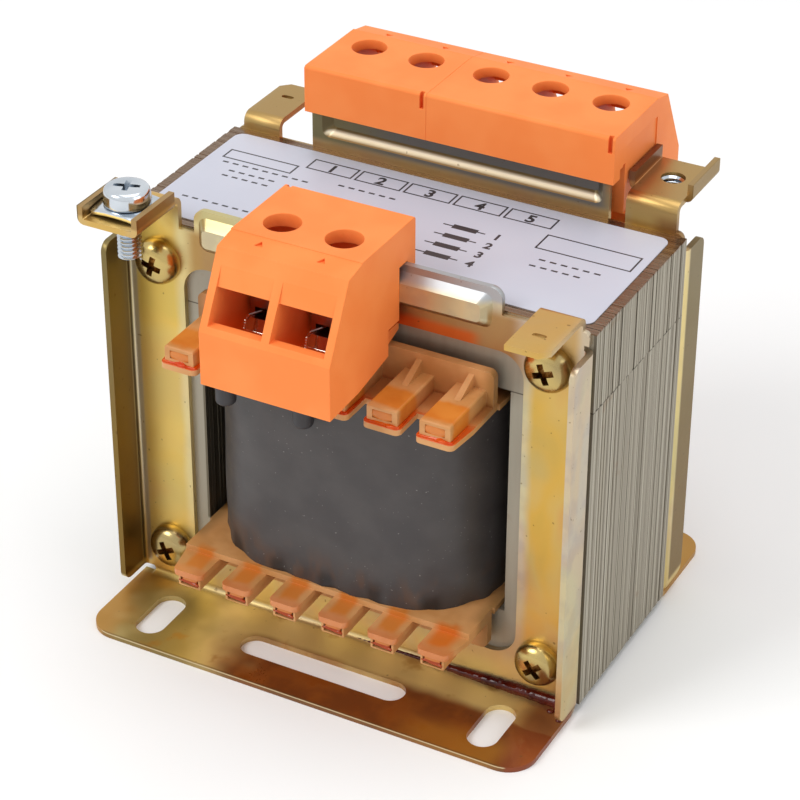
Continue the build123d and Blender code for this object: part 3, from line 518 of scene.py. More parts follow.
def bobbin_plastic():
    """Peach nylon. Its hollow pockets get painted amber light, standing in for light that shines
    through the clear nylon.
    """
    nylon = Finish("bobbin_plastic", specular=0.35)
    x, y, z = nylon.axes()
    cloud = nylon.noise(6, 3)
    wander = (nylon.noise(2.5, 2, shift=(1, 5, 2)) - 0.5) * 2.4
    reach = abs(y) - HALF_STACK
    ragged = reach + wander
    beside = abs(finger_offset(x) + wander * 0.3)

    # The hollows of the upper and lower pockets get painted amber light, for the clear nylon showing
    # through
    upper = z.rise(COIL_TOP, COIL_TOP + 1.2)
    upper_hollow_light = beside.fall(2.7, 3.1) * (reach + wander * 0.8).within(9.0, 14.4, 0.7) * upper
    low_hollow_light = beside.fall(1.0, 2.2 + x.rise(14, 20) * 0.8) * ragged.within(9.0, 14.0, 0.8)
    low_amber = nylon.mix(x.rise(14, 20), (208, 118, 34), (212, 104, 8))
    high_amber = nylon.mix(cloud.rise(0.4, 0.6), (212, 126, 30), (204, 112, 14))

    # Varnish on the lips, dark in the roots and olive at the flange's far ends
    lip_top = z.within(COIL_TOP + 1.0, COIL_TOP + 1.2, 0.05) * ragged.rise(8.0, 10.5)
    low_lip = z.within(COIL_BOTTOM - 2.2, COIL_BOTTOM - 0.9, 0.1) * ragged.rise(13.0, 15.2)
    stained = lip_top.most(low_lip * 0.4)
    root = z.within(COIL_TOP + 0.8, COIL_TOP + 1.6, 0.3) * reach.fall(6.5, 10) * x.rise(-6, 14)
    flange_end = (abs(x) + wander * 0.3).rise(24, 27) * reach.fall(5, 8)
    nylon.apply({
        "Base Color": nylon.layers(
            nylon.mix(cloud.rise(0.35, 0.65), (212, 156, 100), (198, 140, 82)),
            # Painted amber light in the pocket hollows
            (upper_hollow_light.most(low_hollow_light) * 0.85, nylon.mix(upper, low_amber, high_amber)),
            (stained * 0.85, (212, 74, 6)),
            (root * 0.6, (166, 84, 34)),
            (flange_end * 0.7, (132, 98, 54)),
        ),
        "Roughness": 0.4 - stained * 0.28,
        "Coat Weight": stained * 0.3,
        "Normal": nylon.bump((cloud - 0.5) * 0.05),
    })
    return nylon


# %% Make the varnish
def amber_varnish():
    """Baked varnish, deep red-brown where it is thick and glossy all over."""
    varnish = Finish("amber_varnish", roughness=0.07, specular=0.3)
    thick = varnish.noise(4, 2).rise(0.35, 0.65)
    z = varnish.axes()[2]
    plug_top = z.within(COIL_TOP + 1.75, COIL_TOP + 3.4, 0.1)
    plug_low = z.within(COIL_BOTTOM - 3.0, COIL_BOTTOM - 1.9, 0.1)
    low = varnish.mix(thick, (66, 14, 14), (98, 28, 14))
    high = varnish.layers(
        varnish.mix(thick, (204, 62, 4), (216, 90, 12)),
        (z.fall(COIL_BOTTOM, COIL_BOTTOM + 2), (164, 66, 26)),
        (plug_top.most(plug_low), (208, 126, 60)),
    )
    varnish.apply({"Base Color": varnish.mix(z.rise(6, 10), low, high)})
    return varnish


# %% Make the tape and sleeve finishes
def black_tape():
    tape = Finish("black_tape", roughness=0.44)
    x, y, z = tape.axes()
    streaks = tape.noise(2.5, 3, stretch=(6, 6, 1))
    cloud = tape.noise(7, 3)
    patches = tape.noise(3, 2, stretch=(1, 1, 2)).rise(0.48, 0.64)
    specks = tape.noise(0.45, 1, shift=(2, 2, 2)).rise(0.74, 0.79)
    between = abs(finger_offset(x)).rise(2.4, 4.0) * abs(y).rise(12, 16)
    # Painted shade on the tape in the gaps between the bobbin's fingers, near the coil's bottom.
    finger_gap_shade = between * (z + (cloud - 0.5) * 6).fall(COIL_BOTTOM + 1, COIL_BOTTOM + 4.5)
    tape.apply({
        "Base Color": tape.layers(
            tape.mix(cloud.rise(0.3, 0.7), (58, 54, 54), (68, 64, 63)),
            (z.fall(COIL_BOTTOM + 1.5, COIL_BOTTOM + 9) * patches * 0.45, (92, 64, 44)),
            # Painted shade between the fingers
            (finger_gap_shade * 0.8, (22, 18, 18)),
            (specks * 0.5, (150, 146, 142)),
        ),
        "Roughness": 0.36 + streaks * 0.16,
        "Normal": tape.bump(streaks * 0.05 + cloud * 0.08),
    })
    return tape


def plain_finish(name, colour, darker, roughness, metallic=0.0, grain_size=0.8, grain_height=0.01):
    """A finish whose colour drifts between two tones, with a fine grain."""
    finish = Finish(name, metallic=metallic)
    grain = finish.noise(grain_size, 3)
    drift = finish.noise(grain_size * 7, 2)
    finish.apply({
        "Base Color": finish.mix(drift.rise(0.35, 0.65), colour, darker),
        "Roughness": roughness - 0.05 + grain * 0.1,
        "Normal": finish.bump(grain * grain_height),
    })
    return finish


# %% Make the sheet edges' finish
SHEET_COUNT = 68
SHEET_PITCH = 2 * HALF_STACK / SHEET_COUNT


def sheet_edges():
    """Punched silicon steel. Each sheet has its own tone, varnish has darkened the top edges, and the
    left leg's face inside the window gets painted shade.
    """
    steel = Finish("sheet_edges", metallic=0.85)
    x, y, z = steel.axes()
    sheet = (y + HALF_STACK) / SHEET_PITCH
    index = steel.node("ShaderNodeMath", {"operation": "FLOOR"}, {0: sheet})
    tone = steel.node("ShaderNodeTexWhiteNoise", {"noise_dimensions": "1D"}, {"W": index})
    cloud = steel.noise(8, 3)
    streak = steel.noise(1.2, 2, stretch=(1, 0.4, 14))
    tones = steel.ramp(
        tone * 0.6 + streak * 0.4,
        (0.16, (136, 128, 113)),
        (0.34, (158, 151, 136)),
        (0.62, (172, 165, 149)),
        (0.86, (190, 184, 169)),
    )
    outside = abs(x).rise(CORE_HALF - 0.6, CORE_HALF - 0.4)
    seam = (sheet % 1).fall(0.06, 0.16) * tone.rise(0.2, 0.7) * outside
    joint = abs(z - WINDOW_TOP + (tone - 0.5) * 0.2).fall(0.08, 0.16) * tone.rise(0.3, 0.4)
    top = z.rise(CORE_TOP - 0.35, CORE_TOP - 0.1)
    window_side_shade = x.within(-28.4, -27.4, 0.1) * z.within(WINDOW_FOOT, WINDOW_TOP, 0.3)
    steel.apply({
        "Base Color": steel.layers(
            tones,
            (seam * 0.75, (72, 64, 52)),
            (joint * 0.7, (62, 54, 44)),
            (top * 0.75, (112, 78, 50)),
            # Painted shade on the leg's face inside the window
            (window_side_shade * 0.7, (78, 68, 46)),
            (cloud.rise(0.66, 0.74) * 0.35, (140, 104, 70)),
        ),
        "Roughness": 0.5 + streak * 0.12 - top * 0.3,
        "Normal": steel.bump((streak - 0.5) * 0.03),
    })
    return steel


# %% Make the frame screws' finish
def yellow_screw():
    """Yellow-passivated like the frames, with a darker brown over the middle of the head, round the
    cross recess.
    """
    screw = Finish("yellow_screw", metallic=1.0)
    x, y, z = screw.axes()
    grain = screw.noise(1.2, 3)
    drift = screw.noise(8, 2)
    beside = abs(x) - BOLT_X
    level = abs(z - (BOLT_LOW + BOLT_HIGH) / 2) - (BOLT_HIGH - BOLT_LOW) / 2
    squares = beside * beside + level * level
    from_axis = screw.node("ShaderNodeMath", {"operation": "SQRT"}, {0: squares})
    head = (y * -1).within(HALF_STACK + 1, HALF_STACK + 3.55, 0.06)
    screw.apply({
        "Base Color": screw.layers(
            screw.mix(drift.rise(0.35, 0.65), (196, 172, 108), (168, 148, 102)),
            (from_axis.fall(2.35, 2.5) * head * 0.6, (150, 108, 70)),
        ),
        "Roughness": 0.19 + grain * 0.1,
        "Normal": screw.bump(grain * 0.01),
    })
    return screw


# %% Make the screw and fitting finishes
finishes = {
    "passivated_steel": passivated_steel(),
    "orange_plastic": orange_plastic(),
    "bobbin_plastic": bobbin_plastic(),
    "black_tape": black_tape(),
    "label_film": plain_finish("label_film", (198, 201, 214), (193, 196, 210), 0.34, 0.0, 3),
    "amber_varnish": amber_varnish(),
    "sheet_edges": sheet_edges(),
    "yellow_screw": yellow_screw(),
    "bright_zinc": plain_finish("bright_zinc", (206, 212, 218), (184, 192, 200), 0.15, 1.0, 1.0, 0.004),
    "clamp_zinc": plain_finish("clamp_zinc", (178, 168, 172), (158, 148, 154), 0.3, 1.0, 0.8),
    "tinned_leaf": plain_finish("tinned_leaf", (222, 216, 204), (206, 198, 186), 0.18, 1.0, 0.8),
    "sleeve_dark": plain_finish("sleeve_dark", (52, 50, 52), (44, 42, 44), 0.5),
    "copper_wire": plain_finish("copper_wire", (170, 92, 50), (150, 76, 40), 0.35, 0.9),
    "paper_wrap": plain_finish("paper_wrap", (190, 170, 130), (180, 158, 118), 0.7),
    "print_black": plain_finish("print_black", (46, 44, 48), (54, 52, 56), 0.45),
}
print("finishes:", len(finishes))

# %% [markdown]
# ## Dress the CAD nodes
#
# Most CAD pieces keep their mesh and get a finish. Real sheet metal and moulded plastic have small
# rounded edges that catch the light. The CAD mesh is loose triangles, so live modifiers weld it,
# merge flat regions and then bevel every sharp edge, which leaves the mesh itself untouched.

# %% Dress the nodes
DRESS = {
    "front_frame": ("passivated_steel", 0.18),
    "rear_frame": ("passivated_steel", 0.18),
    "bobbin": ("bobbin_plastic", 0.14),
    "front_terminal_housing": ("orange_plastic", 0.25),
    "front_terminal_clamps": ("clamp_zinc", 0.1),
    "front_clamp_screws": ("bright_zinc", 0.1),
    "front_wire_leaves": ("tinned_leaf", 0.08),
    "lead_sleeves": ("sleeve_dark", 0),
    "primary_winding": ("copper_wire", 0),
    "secondary_winding": ("copper_wire", 0),
    "winding_insulation": ("paper_wrap", 0),
    "rating_label": ("label_film", 0),
}
for block in ("rear_two_pole", "rear_three_pole"):
    DRESS[block + "_housing"] = DRESS["front_terminal_housing"]
    DRESS[block + "_clamps"] = DRESS["front_terminal_clamps"]
    DRESS[block + "_screws"] = DRESS["front_clamp_screws"]
    DRESS[block + "_leaves"] = DRESS["front_wire_leaves"]
WELD_DISTANCE = 1e-6
FLAT_ANGLE = math.radians(0.5)
SHARP_ANGLE = math.radians(32)


def round_edges(piece, radius):
    """Welds, simplifies and bevels a piece with live modifiers."""
    weld = piece.modifiers.new("weld", "WELD")
    weld.merge_threshold = WELD_DISTANCE
    flatten = piece.modifiers.new("flatten", "DECIMATE")
    flatten.decimate_type = "DISSOLVE"
    flatten.angle_limit = FLAT_ANGLE
    bevel = piece.modifiers.new("round", "BEVEL")
    bevel.width = radius * MM
    bevel.segments = 2
    bevel.limit_method = "ANGLE"
    bevel.angle_limit = SHARP_ANGLE
    bevel.use_clamp_overlap = True
    bevel.harden_normals = True


for name, (finish, radius) in DRESS.items():
    node = nodes[name]
    node.data.materials.clear()
    node.data.materials.append(finishes[finish].material)
    if radius:
        round_edges(node, radius)
print("dressed", len(DRESS), "CAD nodes")

# %% [markdown]
# ## Pieces of our own
#
# A piece starts as a bmesh, is placed in its mesh, and then becomes an object at the origin. One helper
# does that, gives the piece its finish, hangs it under the root and hides the CAD nodes it replaces.
# Another cuts one shape out of another with a Boolean modifier whose result is kept.

# %% Helpers for new pieces
def new_object(name, mesh):
    data = bpy.data.meshes.new(name)
    mesh.to_mesh(data)
    mesh.free()
    piece = bpy.data.objects.new(name, data)
    bpy.context.scene.collection.objects.link(piece)
    return piece


def keep_modifiers(piece):
    """Replaces a piece's mesh by what its modifiers make of it."""
    graph = bpy.context.evaluated_depsgraph_get()
    made = bpy.data.meshes.new_from_object(piece.evaluated_get(graph))
    piece.modifiers.clear()
    piece.data = made


def carve(piece, cutter, operation="DIFFERENCE"):
    """Cuts one bmesh out of a piece, or keeps what they share."""
    tool = new_object("cutter", cutter)
    cut = piece.modifiers.new("cut", "BOOLEAN")
    cut.operation = operation
    cut.solver = "EXACT"
    cut.object = tool
    bpy.context.view_layer.update()
    keep_modifiers(piece)
    bpy.data.objects.remove(tool)


def finish_piece(piece, finish, replaced=(), sharp=35):
    """Gives a piece its look and its place among the CAD nodes."""
    piece.data.materials.clear()
    piece.data.materials.append(finishes[finish].material)
    piece.data.shade_smooth()
    piece.data.set_sharp_from_angle(angle=math.radians(sharp))
    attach(piece, "root")
    if replaced:
        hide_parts(*replaced)
    print(piece.name, "faces", len(piece.data.polygons))


def move(mesh, offset, parts=None):
    bmesh.ops.translate(mesh, vec=Vector(offset), verts=parts or mesh.verts[:])


def to_metres(mesh):
    bmesh.ops.scale(mesh, vec=(MM, MM, MM), verts=mesh.verts[:])


def corners_in(parts):
    return [part for part in parts if isinstance(part, bmesh.types.BMVert)]


def face_outwards(mesh):
    bmesh.ops.recalc_face_normals(mesh, faces=mesh.faces[:])


def spin_line(mesh, line, steps, rise=0.0):
    """Turns a line of (radius, height) points once round the Z axis, rising as it turns."""
    points = [mesh.verts.new((radius, 0, height)) for radius, height in line]
    edges = [mesh.edges.new(pair) for pair in zip(points, points[1:])]
    bmesh.ops.spin(
        mesh, geom=points + edges, cent=(0, 0, 0), axis=(0, 0, 1), angle=FULL_TURN, steps=steps,
        dvec=(0, 0, rise / steps), use_merge=not rise,
    )


def turned(profile):
    """A solid of revolution with this half section."""
    mesh = bmesh.new()
    spin_line(mesh, profile, 40)
    bmesh.ops.remove_doubles(mesh, verts=mesh.verts[:], dist=1e-4)
    face_outwards(mesh)
    return mesh


# %% [markdown]
# ## The core's sheets
#
# The core is 68 punched sheets of half a millimetre. Their edges never line up, and the uneven
# steps draw the fine dark lines on its sides. One E is a grid of five by two cells without its two
# windows, moved to the real widths and thickened. The rest are copies of it, each shrunk a little
# about its middle so that its edge stands back by its own amount.

# %% Stack the sheets
EDGE_STEPS = (0.0, 0.01, 0.02, 0.03, 0.04, 0.12)
BOLT_HOLE = 2.25
LYING = Matrix.Rotation(math.pi / 2, 4, "X")


def cell_sheet(columns, rows, empty):
    """A flat punched sheet in the front view, thickened backwards."""
    mesh = bmesh.new()
    wide, high = len(columns) - 1, len(rows) - 1
    bmesh.ops.create_grid(mesh, x_segments=wide, y_segments=high, size=1)
    for vert in mesh.verts:
        column = round((vert.co.x + 1) / 2 * wide)
        row = round((vert.co.y + 1) / 2 * high)
        vert.co = (columns[column], -HALF_STACK, rows[row])
    holes = []
    for face in mesh.faces:
        middle = face.calc_center_median()
        if any(left < middle.x < right and middle.z > floor for left, right, floor in empty):
            holes.append(face)
    bmesh.ops.delete(mesh, geom=holes, context="FACES")
    grown = bmesh.ops.extrude_face_region(mesh, geom=mesh.faces[:])
    move(mesh, (0, SHEET_PITCH * 0.94, 0), corners_in(grown["geom"]))
    face_outwards(mesh)
    return mesh


def stack_sheets(mesh, seed):
    """Copies one sheet into a stack with uneven edges."""
    chance = random.Random(seed)
    first = mesh.verts[:] + mesh.edges[:] + mesh.faces[:]
    low = min(vert.co.z for vert in mesh.verts)
    high = max(vert.co.z for vert in mesh.verts)
    for index in range(SHEET_COUNT):
        last = index == SHEET_COUNT - 1
        sheet = first if last else bmesh.ops.duplicate(mesh, geom=first)["geom"]
        back = chance.choice(EDGE_STEPS)
        lean = chance.uniform(-0.03, 0.03)
        for vert in corners_in(sheet):
            x = vert.co.x * (1 - back / CORE_HALF) + lean
            vert.co.x = max(-CORE_HALF, min(CORE_HALF, x))
            vert.co.z = low + (vert.co.z - low) * (1 - back * 0.5 / (high - low))
            vert.co.y += index * SHEET_PITCH


def bolt_cutter(z):
    """Two round bars where the bolts pass."""
    cutter = bmesh.new()
    for x in (-BOLT_X, BOLT_X):
        bar = bmesh.ops.create_cone(
            cutter, cap_ends=True, segments=24, radius1=BOLT_HOLE, radius2=BOLT_HOLE,
            depth=4 * HALF_STACK,
        )["verts"]
        bmesh.ops.rotate(cutter, verts=bar, matrix=LYING.to_3x3())
        move(cutter, (x, 0, z), bar)
    to_metres(cutter)
    return cutter


e_sheet = cell_sheet(
    (-CORE_HALF, -28, -14, 14, 28, CORE_HALF),
    (CORE_LIFT, WINDOW_FOOT, WINDOW_TOP),
    ((-28, -14, WINDOW_FOOT), (14, 28, WINDOW_FOOT)),
)
i_sheet = cell_sheet((-CORE_HALF, CORE_HALF), (WINDOW_TOP, CORE_TOP), ())
for letter, sheet, seed, row in (("e", e_sheet, 3, BOLT_LOW), ("i", i_sheet, 8, BOLT_HIGH)):
    stack_sheets(sheet, seed)
    to_metres(sheet)
    stack = new_object(letter + "_lamination_sheets", sheet)
    carve(stack, bolt_cutter(row))
    finish_piece(stack, "sheet_edges", (letter + "_lamination_stack",), sharp=20)

# %% [markdown]
# ## The taped coil
#
# The coil is wrapped in black tape. The wrap is a rounded rectangle drawn up to the coil's height,
# with rows of points close enough to take fine dents. Where the bobbin's flange squeezes the tape
# at its bottom edge it puckers, so the lowest rows get soft waves as well.

# %% Wrap the coil
TAPE_HALF_WIDTH = 25.4
TAPE_HALF_DEPTH = HALF_STACK + 9.6
TAPE_CORNER = 15.5
TAPE_THICKNESS = 0.6
TAPE_ROWS = 36


def tape_wrap():
    mesh = bmesh.new()
    bmesh.ops.create_grid(mesh, x_segments=1, y_segments=1, size=1)
    bmesh.ops.scale(mesh, vec=(TAPE_HALF_WIDTH, TAPE_HALF_DEPTH, 1), verts=mesh.verts[:])
    bmesh.ops.bevel(
        mesh, geom=mesh.verts[:], offset=TAPE_CORNER, offset_type="OFFSET", segments=20, profile=0.5,
        affect="VERTICES", material=-1,
    )
    bmesh.ops.delete(mesh, geom=mesh.faces[:], context="FACES_ONLY")
    long_edges = [edge for edge in mesh.edges if edge.calc_length() > 4]
    bmesh.ops.subdivide_edges(mesh, edges=long_edges, cuts=18)
    move(mesh, (0, 0, COIL_BOTTOM))
    row = mesh.edges[:]
    for _ in range(TAPE_ROWS):
        grown = bmesh.ops.extrude_edge_only(mesh, edges=row)["geom"]
        move(mesh, (0, 0, (COIL_TOP - COIL_BOTTOM) / TAPE_ROWS), corners_in(grown))
        row = [item for item in grown if isinstance(item, bmesh.types.BMEdge)]
    face_outwards(mesh)
    mesh.normal_update()
    for vert in mesh.verts:
        outward = vert.normal.copy()
        if outward.dot(Vector((vert.co.x, vert.co.y, 0))) < 0:
            outward.negate()
        low = max(0.0, 1 - (vert.co.z - COIL_BOTTOM) / 5.0)
        along = math.atan2(vert.co.y, vert.co.x)
        dent = noise.noise(vert.co * 0.09) * 0.18 + noise.noise(vert.co * 0.4) * 0.03
        pucker = noise.noise(Vector((along * 9, 0, 4))) * 0.5 * low * low
        crease = abs(noise.noise(Vector((vert.co.x * 0.32, vert.co.y * 0.1, 8)))) * 0.5 * low
        vert.co += outward * (dent + pucker - crease - 0.12)
    return mesh


wrap = tape_wrap()
to_metres(wrap)
coil_tape = new_object("coil_tape", wrap)
thick = coil_tape.modifiers.new("thick", "SOLIDIFY")
thick.thickness = TAPE_THICKNESS * MM
thick.offset = -1
keep_modifiers(coil_tape)
finish_piece(coil_tape, "black_tape", ("outer_tape",), sharp=60)

# %% [markdown]
# ## Screws and nuts
#
# A screw head is a turned shape, so its half section is spun round its axis. The cross recess is
# cut by two tapered bars. A real thread is a ridge that climbs as it turns: spinning a zigzag
# profile through one turn while it rises by one pitch gives exactly that, and each turn then meets
# the next.

# %% Turned heads and threads
THREAD_CREST = 2.0
THREAD_ROOT = 1.62
THREAD_PITCH = 0.7
THREAD_STEPS = 28


def thread_rod(mesh, low, high):
    """A threaded rod along Z from low to high."""
    turns = max(1, round((high - low) / THREAD_PITCH))
    before = set(mesh.verts)
    line = []
    for turn in range(turns):
        line += [(THREAD_CREST, turn), (THREAD_CREST, turn + 0.12)]
        line += [(THREAD_ROOT, turn + 0.5), (THREAD_ROOT, turn + 0.62)]
    line.append((THREAD_CREST, turns))
    line = [(radius, low + turn * THREAD_PITCH) for radius, turn in line]
    spin_line(mesh, line, THREAD_STEPS, THREAD_PITCH)
    fresh = [vert for vert in mesh.verts if vert not in before]
    bmesh.ops.remove_doubles(mesh, verts=fresh, dist=1e-3)
    fresh = set(vert for vert in mesh.verts if vert not in before)
    rims = [edge for edge in mesh.edges if edge.is_boundary and edge.verts[0] in fresh]
    bmesh.ops.holes_fill(mesh, edges=rims, sides=0)
    bmesh.ops.triangulate(mesh, faces=[face for face in mesh.faces if len(face.verts) > 4])


def cross_wing(span, width, depth, top, turn):
    """One tapered bar of a cross recess."""
    wing = bmesh.new()
    bmesh.ops.create_cube(wing, size=1)
    bmesh.ops.scale(wing, vec=(span, width, 2 * depth), verts=wing.verts[:])
    lower = [vert for vert in wing.verts if vert.co.z < 0]
    bmesh.ops.scale(wing, vec=(0.5, 0.7, 1), verts=lower)
    move(wing, (0, 0, top))
    bmesh.ops.rotate(wing, verts=wing.verts[:], matrix=Matrix.Rotation(math.radians(turn), 3, "Z"))
    return wing


def turned_screw(name, profile, wings, low, high):
    """A turned head with its recess cut, on a thread from low to high."""
    screw = new_object(name, turned(profile))
    for wing in wings:
        carve(screw, cross_wing(*wing))
    mesh = bmesh.new()
    mesh.from_mesh(screw.data)
    thread_rod(mesh, low, high)
    face_outwards(mesh)
    mesh.to_mesh(screw.data)
    mesh.free()
    return screw


def place(piece, matrix):
    """Moves a piece's mesh from millimetres at the origin to its place in metres."""
    piece.data.transform(Matrix.Scale(MM, 4) @ matrix)


def join_pieces(name, pieces):
    """Makes one object of several."""
    mesh = bmesh.new()
    for piece in pieces:
        mesh.from_mesh(piece.data)
        bpy.data.objects.remove(piece)
    return new_object(name, mesh)


# %% Make the four frame screws
HEAD_PROFILE = (
    (0, 2.9), (1.3, 2.88), (2.2, 2.74), (2.9, 2.46), (3.45, 2.05), (3.8, 1.5), (3.97, 0.9),
    (4.0, 0.35), (3.9, 0.0), (2.0, 0.0), (2.0, -36.4), (1.7, -36.9), (0, -36.9),
)
RECESS = (4.9, 1.25, 1.7, 2.9)
BOLTS = (
    (-BOLT_X, BOLT_LOW, 25), (-BOLT_X, BOLT_HIGH, -15), (BOLT_X, BOLT_LOW, 40), (BOLT_X, BOLT_HIGH, 20),
)

screws = []
for x, z, turn in BOLTS:
    wings = [(*RECESS, turn), (*RECESS, turn + 90)]
    screw = turned_screw("screw", HEAD_PROFILE, wings, -41.5, -36.6)
    place(screw, Matrix.Translation((x, -HALF_STACK - FRAME_SHEET, z)) @ LYING)
    screws.append(screw)
screws = join_pieces("frame_screws_turned", screws)
finish_piece(screws, "yellow_screw", ("frame_screws",))

# %% Make the four nuts
NUT_HEIGHT = 3.2
NUT_HALF = NUT_HEIGHT / 2
NUT_CORNER = 4.04
NUT_PROFILE = (
    (0, NUT_HALF), (3.4, NUT_HALF), (4.3, NUT_HALF - 0.5),
    (4.3, 0.5 - NUT_HALF), (3.4, -NUT_HALF), (0, -NUT_HALF),
)
NUT_BORE = ((0, 4), (2.02, 4), (2.02, -4), (0, -4))


def nut_blank():
    """A six-sided bar whose corners are turned off by a double cone."""
    mesh = bmesh.new()
    bmesh.ops.create_cone(
        mesh, cap_ends=True, segments=6, radius1=NUT_CORNER, radius2=NUT_CORNER, depth=NUT_HEIGHT,
    )
    nut = new_object("nut", mesh)
    carve(nut, turned(NUT_PROFILE), "INTERSECT")
    carve(nut, turned(NUT_BORE))
    return nut


nuts = []
for index, (x, z, _) in enumerate(BOLTS):
    nut = nut_blank()
    turn = Matrix.Rotation(math.radians(index * 17), 4, "Z")
    place(nut, Matrix.Translation((x, HALF_STACK + FRAME_SHEET + NUT_HALF, z)) @ LYING @ turn)
    nuts.append(nut)
nuts = join_pieces("frame_nuts_chamfered", nuts)
finish_piece(nuts, "yellow_screw", ("frame_nuts",))

# %% [markdown]
# ## The earth screw and its washer
#
# The bright screw on the front left tab clamps the earth wire under a square cupped washer. The
# head is nearly a cylinder, with a cross and a slot. The washer is a square grid bent down towards
# its corners, given thickness and rounded.

# %% Make the earth screw and washer
EARTH_X = -35.55
EARTH_REACH = 8.5
EARTH_TAB_TOP = CORE_LIFT + 75.4
WASHER_TOP = EARTH_TAB_TOP + 1.4
EARTH_HEAD_PROFILE = (
    (0, 2.95), (1.8, 2.95), (2.9, 2.9), (3.4, 2.72), (3.65, 2.4), (3.75, 1.9), (3.9, 0.5),
    (3.85, 0.15), (3.6, 0.0), (2.0, 0.0), (2.0, -0.6), (0, -0.6),
)
EARTH_WINGS = ((4.6, 1.1, 1.8, 2.95, 20), (4.6, 1.1, 1.8, 2.95, 110), (5.8, 0.9, 1.1, 2.95, 20))
WASHER_HALF = 4.4
WASHER_FLAT = 3.0

earth_screw = turned_screw("earth_screw_turned", EARTH_HEAD_PROFILE, EARTH_WINGS, -9.9, -0.4)
place(earth_screw, Matrix.Translation((EARTH_X, -HALF_STACK - EARTH_REACH, WASHER_TOP)))
finish_piece(earth_screw, "bright_zinc", ("earth_screw",))


def cupped_washer():
    """A square sheet with rounded corners, bent down outside its flat middle."""
    mesh = bmesh.new()
    bmesh.ops.create_grid(mesh, x_segments=16, y_segments=16, size=WASHER_HALF)
    corners = [vert for vert in mesh.verts if min(abs(vert.co.x), abs(vert.co.y)) > WASHER_HALF - 0.1]
    bmesh.ops.bevel(
        mesh, geom=corners, offset=0.5, offset_type="OFFSET", segments=3, profile=0.5,
        affect="VERTICES", material=-1,
    )
    for vert in mesh.verts:
        out = max(0.0, vert.co.xy.length - WASHER_FLAT)
        vert.co.z = -0.17 * out * out * 0.35
    move(mesh, (0, 0, 1.38))
    return mesh


washer = new_object("earth_washer_cupped", cupped_washer())
thick = washer.modifiers.new("thick", "SOLIDIFY")
thick.thickness = 0.8
thick.offset = -1
edge = washer.modifiers.new("edge", "BEVEL")
edge.width = 0.16
edge.segments = 2
edge.limit_method = "ANGLE"
edge.angle_limit = math.radians(50)
keep_modifiers(washer)
place(washer, Matrix.Translation((EARTH_X, -HALF_STACK - EARTH_REACH, EARTH_TAB_TOP)))
finish_piece(washer, "bright_zinc", ("earth_washer",))

# %% [markdown]
# ## Varnish runs
#
# Varnish has collected in corners and dried as glossy beads. Each run is drawn as a row of small
# balls along a path, thick in one place and thin in another. A remesh modifier then melts the
# balls into one smooth skin, much as the liquid did.

# %% Melt balls into runs
BALL_GAP = 0.4
VARNISH_SEED = 12
chance = random.Random(VARNISH_SEED)


def ball(mesh, centre, radii):
    """A ball at a point, squashed to three radii."""
    made = bmesh.ops.create_icosphere(mesh, subdivisions=2, radius=1)["verts"]
    bmesh.ops.scale(mesh, vec=radii, verts=made)
    move(mesh, centre, made)


def run(mesh, start, end, first, last):
    """A row of uneven balls whose radius goes from first to last."""
    start, end = Vector(start), Vector(end)
    count = max(2, round((end - start).length / BALL_GAP))
    for index in range(count + 1):
        share = index / count
        radius = (first + (last - first) * share) * chance.uniform(0.93, 1.07)
        ball(mesh, start.lerp(end, share), (radius, radius, radius))


def melt(name, mesh, voxel, finish="amber_varnish"):
    """Turns overlapping balls into one smooth piece."""
    to_metres(mesh)
    piece = new_object(name, mesh)
    skin = piece.modifiers.new("skin", "REMESH")
    skin.mode = "VOXEL"
    skin.voxel_size = voxel * MM
    soft = piece.modifiers.new("soft", "SMOOTH")
    soft.factor = 0.5
    soft.iterations = 5
    keep_modifiers(piece)
    finish_piece(piece, finish, sharp=180)


# %% Varnish round the bobbin's pockets
POCKET_XS = [FINGER_PITCH * (index - 2.5) for index in range(6)]
POCKET_HALF = 2.8
POCKET_FLOOR = COIL_TOP + 1.1
POCKET_FRONT = HALF_STACK + 15.3
LOW_HALF = 1.9
LOW_MIDDLE = COIL_BOTTOM - 2.4
VOXEL = 0.17

mesh = bmesh.new()
for side in (-1, 1):
    front = side * POCKET_FRONT
    back = side * (POCKET_FRONT - 5.5)
    for x in POCKET_XS:
        left, right = (x - POCKET_HALF, x + POCKET_HALF)
        for edge in (left, right):
            run(mesh, (edge, back, POCKET_FLOOR), (edge, front, POCKET_FLOOR), 0.16, 0.34)
        run(mesh, (left, front, POCKET_FLOOR), (right, front, POCKET_FLOOR), 0.32, 0.32)
        ball(mesh, (x, front - side * 0.35, POCKET_FLOOR + 1.4), (2.3, 0.45, 1.12))
        drop = x + chance.uniform(0.6, 1.8)
        ball(mesh, (drop, front + side * 0.25, POCKET_FLOOR + 0.1), (0.9, 0.4, 0.45))
melt("upper_pocket_varnish", mesh, VOXEL)

mesh = bmesh.new()
low, high = LOW_MIDDLE - 0.9, LOW_MIDDLE + 0.9
for side in (-1, 1):
    front = side * POCKET_FRONT
    for x in POCKET_XS:
        left = x - LOW_HALF
        ball(mesh, (x, front - side * 0.35, LOW_MIDDLE), (LOW_HALF, 0.45, 0.95))
        run(mesh, (left, front, low), (x + 1.6, front, low - 0.2), 0.22, 0.34)
        run(mesh, (left, front, high), (x + LOW_HALF, front, high), 0.2, 0.2)
melt("lower_pocket_varnish", mesh, VOXEL)

# %% Varnish in the front foot's bend
bend = -HALF_STACK - FRAME_SHEET - 0.2
DROPS = ((38.4, 3.4, 0.5), (40.6, 5.0, 0.4), (39.4, 2.4, 0.6), (36.2, 2.0, 0.45))

